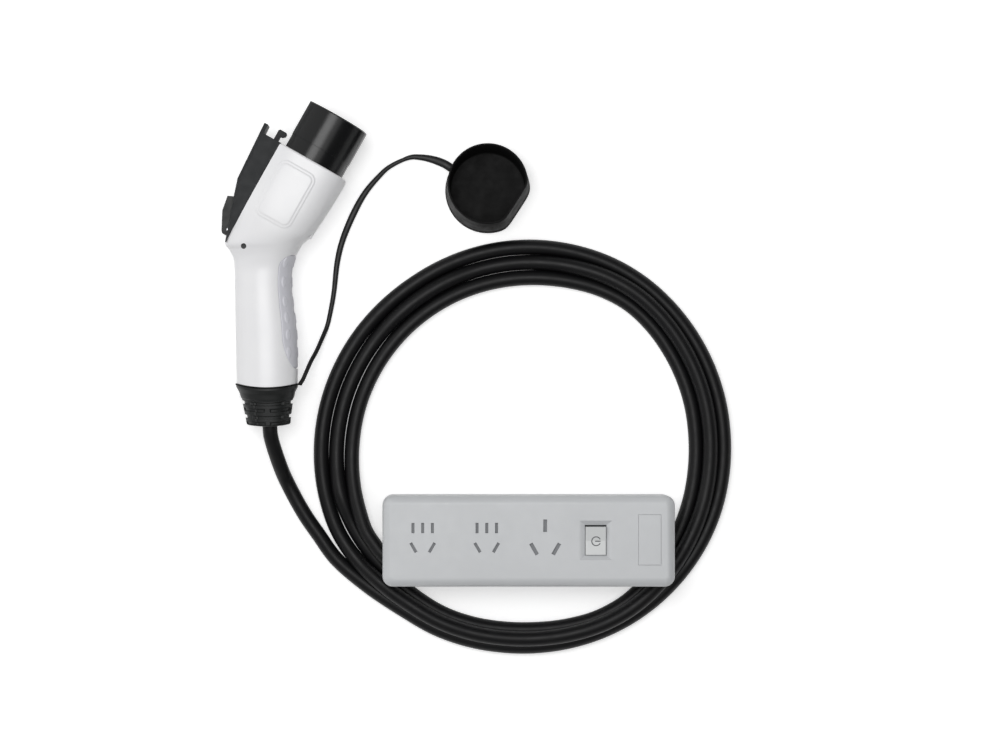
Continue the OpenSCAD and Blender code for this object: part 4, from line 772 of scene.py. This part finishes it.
# %% Screw holes
# From the plug's reference point: x, y, and the skin's height, in millimetres
NEAR_SCREWS = [(-16.6, 5.7, 25.0)]
FAR_SCREWS = [(HANDLE_MID, -81.36, 21.5), (HANDLE_MID, -40.68, 20.7), (*flat_in_head(18, 58), 30.6)]
NEAR_HOLE, FAR_HOLE, HOLE_DEPTH, HOLE_SIDES = 2.4, 3.0, 6, 28


def drilled(piece, screws, radius, side):
    """Cuts upright holes for the screws' heads into the broad face of one half."""
    turn = np.linspace(0, 2 * np.pi, HOLE_SIDES, endpoint=False)
    work = bmesh.new()
    for x, y, height in screws:
        ring = np.column_stack([x + radius * np.cos(turn), y + radius * np.sin(turn)])
        ends = (side * height - HOLE_DEPTH, side * height + HOLE_DEPTH)
        bit = np.stack([np.column_stack([ring, np.full(HOLE_SIDES, z)]) for z in ends])
        work.from_mesh(ring_mesh("bit", PLUG + MM * bit))
    bmesh.ops.recalc_face_normals(work, faces=work.faces)
    joined = bpy.data.meshes.new("bits")
    work.to_mesh(joined)
    work.free()
    cutter = add_object("bits", joined)
    cut = piece.modifiers.new("holes", "BOOLEAN")
    cut.operation, cut.solver, cut.object = "DIFFERENCE", "MANIFOLD", cutter
    bpy.context.view_layer.update()
    ready = piece.evaluated_get(bpy.context.evaluated_depsgraph_get())
    mesh = bpy.data.meshes.new_from_object(ready)
    piece.modifiers.clear()
    piece.data = mesh
    bpy.data.objects.remove(cutter)


# %% Both halves
for node, side, screws, radius in (
    ("shell_near", 1, NEAR_SCREWS, NEAR_HOLE), ("shell_far", -1, FAR_SCREWS, FAR_HOLE),
):
    name = node + "_skin"
    shell = link_piece(half_shell(name, side), name, "adapter", white_shell)
    drilled(shell, screws, radius, side)
    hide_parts(node)
    shell.data.set_sharp_from_angle(angle=math.radians(38))

# %% [markdown]
# ## The grip
# The insert is soft grey rubber, flush with the shell, with rows of small raised pads for the fingers. It is
# the same surface again, over the stretch inside the recess's border, with a rounded rim and a back.

# %% Grip insert
PAD_ROWS = (-8, -25, -42, -56, -71, -86)
PAD_COLUMNS = (-44.0, 0.0, 44.0)
# Half sizes of a pad, how far it rises, and the rim's width and drop, in millimetres
PAD_ROUND, PAD_TALL, PAD_RISE = 2.9, 5.2, 0.6
RIM_WIDTH, RIM_DROP = 1.1, 0.8
GRIP_THICK = 1.2
# Millimetres for one radian round the handle, and for one running place along it
ROUND_IT, ALONG_IT = 24, 9


def grip_skin():
    """Rings of points for the grip. Each ring runs over the outside and back along the inside. The outside
    sinks towards its rim and rises in flat oval pads, where r is 1 on a pad's edge."""
    t = np.linspace(GRIP_LOW + 0.045, GRIP_HIGH - 0.045, 210)
    s = section_at(t)
    border = grip_border(t)[:, None] - 0.9
    angle = border * np.linspace(-1, 1, 121)
    to_side = np.radians(border - np.abs(angle)) * ROUND_IT
    to_end = np.minimum(t - t[0], t[-1] - t)[:, None] * ALONG_IT
    rim = np.clip(1 - np.minimum(to_side, to_end) / RIM_WIDTH, 0, 1)
    depth = 0.05 + RIM_DROP * rim**2
    place = s[:, 3:4]
    for row in PAD_ROWS:
        for column in PAD_COLUMNS:
            r = np.hypot(np.radians(angle - column) * ROUND_IT / PAD_ROUND, (place - row) / PAD_TALL)
            depth = depth - PAD_RISE * smooth_step((1 - r) / 0.35)
    outside = section_points(s, np.radians(angle), depth)
    inside = section_points(s, np.radians(angle), GRIP_THICK)
    return PLUG + MM * np.concatenate([outside, inside[:, ::-4]], axis=1)


grip = ring_piece("grip_skin", grip_skin(), grip_grey, sharp=50)
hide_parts("grip_insert")

# %% [markdown]
# ## The strain relief
# A ribbed rubber boot flares from the lead up to the handle. Short slots run round it in rows, and each
# row's slots stand between posts, so that it bends like a chain. Its rings are ovals that shrink down its
# length, with the slots as a change of radius.

# %% Strain relief
RING_HEIGHT = 1.7
# Half sizes at the end, and how far the end stands to one side, in millimetres
BOOT_END_X, BOOT_END_Z, BOOT_LEAN = 19.7, 15.01, 1.4
# Share of the way down, and how much of the difference between the two ends is left there
BOOT_FALL = np.array([
    [0, 1], [0.05, 0.98], [0.16, 0.67], [0.3, 0.48], [0.5, 0.35], [0.7, 0.2], [0.9, 0.06], [1, 0],
])
# Under the flare the boot steps in, and from there on it has its slots and folds
STEP_AT, STEP_DEPTH = 0.3, 0.7
SLOT_ROWS, SLOT_HALF, SLOT_DEPTH = (0.41, 0.585, 0.77, 0.935), 0.032, 2.4
POST_HALF = 4.5
FOLD_ANGLES, FOLD_HALF, FOLD_DEPTH = (118, 242), 3.6, 0.9


def boot_grid():
    """Rings of the boot. A ring's half sizes fall from the handle's to the end's by a table, and the depth of
    a slot is taken off its radius: full over the slot's height except near its posts, with soft shoulders."""
    near_slot = SLOT_HALF * np.array([-1.45, -1.1, -1, -0.5, 0.5, 1, 1.1, 1.45])
    share = np.unique(np.concatenate([np.linspace(0, 1, 60)] + [row + near_slot for row in SLOT_ROWS]))
    angle = np.radians(np.arange(0, 360, 1.5))
    fall = np.interp(share, BOOT_FALL[:, 0], BOOT_FALL[:, 1])
    half_x = BOOT_END_X + (HANDLE_WIDTH / 2 + 0.4 - BOOT_END_X) * fall
    half_z = BOOT_END_Z + (HANDLE_THICK / 2 - BOOT_END_Z) * fall
    power = 2 / HANDLE_SQUARENESS
    x = half_x[:, None] * signed_power(np.cos(angle), power)
    z = half_z[:, None] * signed_power(np.sin(angle), power)
    cut = STEP_DEPTH * smooth_step((share - STEP_AT) / 0.03)[:, None] * np.ones_like(x)
    end = np.clip((share - 0.955) / 0.045, 0, 1)[:, None]
    cut += 1.5 * (1 - np.sqrt(1 - end**2))
    for k, row in enumerate(SLOT_ROWS):
        tall = smooth_step((1.4 - np.abs(share - row) / SLOT_HALF) / 0.35)[:, None]
        from_post = np.abs((np.degrees(angle) - 45 - 45 * (k % 2) + 45) % 90 - 45)
        wide = smooth_step((from_post - POST_HALF) / 2.5)
        cut += (SLOT_DEPTH - STEP_DEPTH) * tall * wide
    # Two upright grooves on each broad face, where the boot's corners fold
    for corner in FOLD_ANGLES:
        away = np.abs(np.degrees(angle) - corner)
        groove = smooth_step((FOLD_HALF - away) / (FOLD_HALF / 2))
        cut += FOLD_DEPTH * groove * smooth_step((share - STEP_AT) / 0.02)[:, None]
    keep = 1 - cut / np.hypot(x, z)
    x = HANDLE_MID + BOOT_LEAN * share[:, None] + x * keep
    y = -HANDLE_LENGTH - RING_HEIGHT - share[:, None] * (BOOT_LENGTH - RING_HEIGHT) - end_curve(x)
    return PLUG + MM * np.stack([x, y, z * keep], -1)


boot = ring_piece("boot_skin", boot_grid(), boot_rubber, sharp=60)
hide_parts("boot")

# %% [markdown]
# ## The cap
# The cap is a soft black cup with one flat side, like the nose that it covers. It stands open end up. A
# lathe would make a round one, and the flat needs one more idea: every ring of the profile is the outline of
# a circle cut by a line, with its corners eased, so that the same few numbers draw the outside, the rim and
# the inside.

# %% Cap
CAP_RADIUS, CAP_FLAT, CAP_HEIGHT, CAP_WALL, CAP_FLOOR = 35.6, 30.2, 40.0, 2.2, 3.0
CAP_FLARE, CAP_FLAT_FLARE = 1.9, 2.6
# How far the wall stands in over the bead at its foot, the height of the rim's round, and how sharp the
# corners beside the flat are
CAP_BEAD, CAP_RIM, CAP_POWER = 0.5, 1.1, 28
CAP_TURN = math.radians(-33)
CAP_LEAN = np.array([0.8, -4.6])


def cap_outline(radius, flat, turn):
    """How far out a circle with one flat reaches in each direction: the smaller of the circle's radius and
    the flat's distance over the cosine, blended by a high power so that the corner is round."""
    toward = np.maximum(np.cos(turn), 1e-3)
    return (radius ** -float(CAP_POWER) + (flat / toward) ** -float(CAP_POWER)) ** (-1 / CAP_POWER)


def cap_grid():
    """Rings from the middle of the underside, up the flared outside, over the rim and down to the middle of
    the floor. A ring is given by how much it is taken in from the outside, its height, and its share."""
    turn = np.linspace(0, 2 * np.pi, 144, endpoint=False)
    rim = np.linspace(0, math.pi, 7)
    over_rim = CAP_BEAD + (CAP_WALL - CAP_BEAD) * (1 - np.cos(rim)) / 2
    top = CAP_HEIGHT - CAP_RIM
    # Columns: taken in, height, share of the outline that is kept
    rings = [(1.2, 0, share) for share in (0.02, 0.4, 0.8, 1)]
    rings += [(0.35, 0.35, 1), (0, 1.2, 1), (0, 4.4, 1), (CAP_BEAD, 5.2, 1)]
    rings += [(CAP_BEAD, z, 1) for z in np.linspace(7, top, 12)]
    rings += [(inwards, top + CAP_RIM * math.sin(a), 1) for inwards, a in zip(over_rim, rim)]
    rings += [(CAP_WALL, z, 1) for z in np.linspace(CAP_HEIGHT - 4, CAP_FLOOR + 1.5, 8)]
    rings += [(CAP_WALL + 0.4, CAP_FLOOR + 0.4, 1), (CAP_WALL + 1.4, CAP_FLOOR, 1)]
    rings += [(CAP_WALL + 1.4, CAP_FLOOR, share) for share in (0.9, 0.88, 0.6, 0.3, 0.02)]
    taken, height, share = np.array(rings).T
    # The outside flares towards the foot; the inside is straight
    flare = np.clip(1 - height / CAP_HEIGHT, 0, 1) * (taken < CAP_WALL / 2)
    radius = (CAP_RADIUS + CAP_FLARE * flare - taken)[:, None]
    flat = (CAP_FLAT + CAP_FLAT_FLARE * flare - taken)[:, None]
    out = cap_outline(radius, flat, turn[None, :]) * share[:, None]
    # The soft cup leans: its foot stands a few millimetres to one side of its rim
    lean = CAP_LEAN[:, None, None] * (1 - height / CAP_HEIGHT)[None, :, None]
    x = out * np.cos(turn + CAP_TURN) + lean[0]
    y = out * np.sin(turn + CAP_TURN) + lean[1]
    return CAP + MM * np.stack([x, y, np.broadcast_to(height[:, None], out.shape)], -1)


cap = ring_piece("cap_skin", cap_grid(), cap_rubber, sharp=55)
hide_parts("cap")

# %% [markdown]
# ## The lead and the tether
# A cord is a tube along its route. The lead is one unbroken cable from the strain relief to the grommet.

# %% Cords
# Shares of the way where the cable has taken on the coil's thickness and where it gives it up
lead_share = np.linspace(0, 1, len(lead_line))
in_coil = smooth_step((lead_share - 0.06) / 0.03) * smooth_step((0.93 - lead_share) / 0.03)
lead_radius = (LEAD_WIDTH + (CABLE * MM - LEAD_WIDTH) * in_coil) / 2
lead = ring_piece("lead", tube_grid(lead_line, lead_radius, 24), lead_black, uv=True)
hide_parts("cable_lead", "cable_coil", "cable_tail")

strap = tube_grid(tether_line, TETHER_WIDTH / 2, 16)
wide = np.interp(np.linspace(0, 1, len(strap)), TETHER_WIDE[:, 0], TETHER_WIDE[:, 1])[:, None, None]
strap[..., :2] = tether_line[:, None, :2] + (strap - tether_line[:, None, :])[..., :2] * wide
tether = ring_piece("tether_cord", strap, tether_rubber, uv=True)
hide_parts("tether")

# %% [markdown]
# ## Table and light
# The photograph is a product shot on pure white. The table is round and curves up into a low wall, so that
# no edge of it shows from any side. It is white for the camera and in reflections, and it still takes a
# faint shadow. A wide lamp overhead gives the even light and the highlight along the nose, a second one
# lights the strip, and a panel on the left lifts the left sides.

# %% Table
TABLE_REACH, TABLE_COVE, TABLE_WALL, TABLE_TOP = 6.0, 0.6, 1.6, -0.0006
cove = np.linspace(0, math.pi / 2, 9)
out_to = np.concatenate([[0, 1, 3], TABLE_REACH - TABLE_COVE + TABLE_COVE * np.sin(cove), [TABLE_REACH]])
up_to = np.concatenate([[0, 0, 0], TABLE_COVE * (1 - np.cos(cove)), [TABLE_WALL]]) + TABLE_TOP
turn = np.linspace(0, 2 * np.pi, 96, endpoint=False)
sweep = np.stack([
    np.outer(out_to, np.cos(turn)), np.outer(out_to, np.sin(turn)),
    np.broadcast_to(up_to[:, None], (len(up_to), len(turn))),
], -1)
table_mesh = outward(ring_mesh("table", sweep, caps=False))
table_mesh.polygons.foreach_set("use_smooth", np.ones(len(table_mesh.polygons), bool))
table = add_object("table", table_mesh)


def table_finish():
    """White that glows a little for the camera, in reflections and through clear things, and plain light
    grey for the light that it throws back on the object."""
    material = bpy.data.materials.new("table_white")
    material.use_nodes = True
    tree = material.node_tree
    tree.nodes.clear()
    out = add_node(tree, "ShaderNodeOutputMaterial")
    plain = add_node(tree, "ShaderNodeBsdfDiffuse", {"Color": (0.8, 0.8, 0.8, 1)})
    bright = add_node(tree, "ShaderNodeBsdfDiffuse", {"Color": (0.9, 0.9, 0.9, 1)})
    glow = add_node(tree, "ShaderNodeEmission", {"Strength": 0.42})
    both = add_node(tree, "ShaderNodeAddShader")
    ray = add_node(tree, "ShaderNodeLightPath")
    either = add_node(tree, "ShaderNodeMath")
    seen = add_node(tree, "ShaderNodeMath")
    either.operation = seen.operation = "MAXIMUM"
    pick = add_node(tree, "ShaderNodeMixShader")
    join(tree,
         (ray, "Is Glossy Ray", either, 0), (ray, "Is Transmission Ray", either, 1),
         (ray, "Is Camera Ray", seen, 0), (either, "Value", seen, 1),
         (bright, "BSDF", both, 0), (glow, "Emission", both, 1),
         (seen, "Value", pick, "Fac"), (plain, "BSDF", pick, 1), (both, "Shader", pick, 2),
         (pick, "Shader", out, "Surface"))
    return material


table_mesh.materials.append(table_finish())


# %% Lamps and surroundings
def lamp(name, place, target, width, depth, watts):
    """A soft rectangular lamp that looks at a target."""
    data = bpy.data.lights.new(name, "AREA")
    data.shape = "RECTANGLE"
    data.size, data.size_y = width, depth
    data.energy = watts
    placed = add_object(name, data)
    placed.location = place
    way = np.array(target, float) - np.array(place, float)
    placed.rotation_euler = Vector(way).to_track_quat("-Z", "Y").to_euler()


lamp("overhead", (-0.25, 0.28, 2.3), (-0.1, 0.1, 0), 1.0, 1.0, 22)
lamp("over_strip", (0.45, -0.3, 2.2), (0.1, -0.15, 0), 0.9, 0.9, 4.5)
lamp("left_panel", (-1.7, 0.9, 1.3), (-0.1, 0.1, 0), 2.2, 2.2, 10)

world = bpy.data.worlds.new("surroundings")
bpy.context.scene.world = world
world.use_nodes = True
tree = world.node_tree
background = tree.nodes["Background"]
background.inputs["Color"].default_value = (1, 1, 1, 1)
# It is brighter on the left, by the direction's x from -1 to 1
way = add_node(tree, "ShaderNodeTexCoord")
split = add_node(tree, "ShaderNodeSeparateXYZ")
level = add_node(tree, "ShaderNodeMapRange", {"From Min": -1, "To Min": 0.52, "To Max": 0.08})
join(tree,
     (way, "Generated", split, "Vector"), (split, "X", level, "Value"),
     (level, "Result", background, "Strength"))

bpy.context.scene.view_settings.view_transform = "Standard"
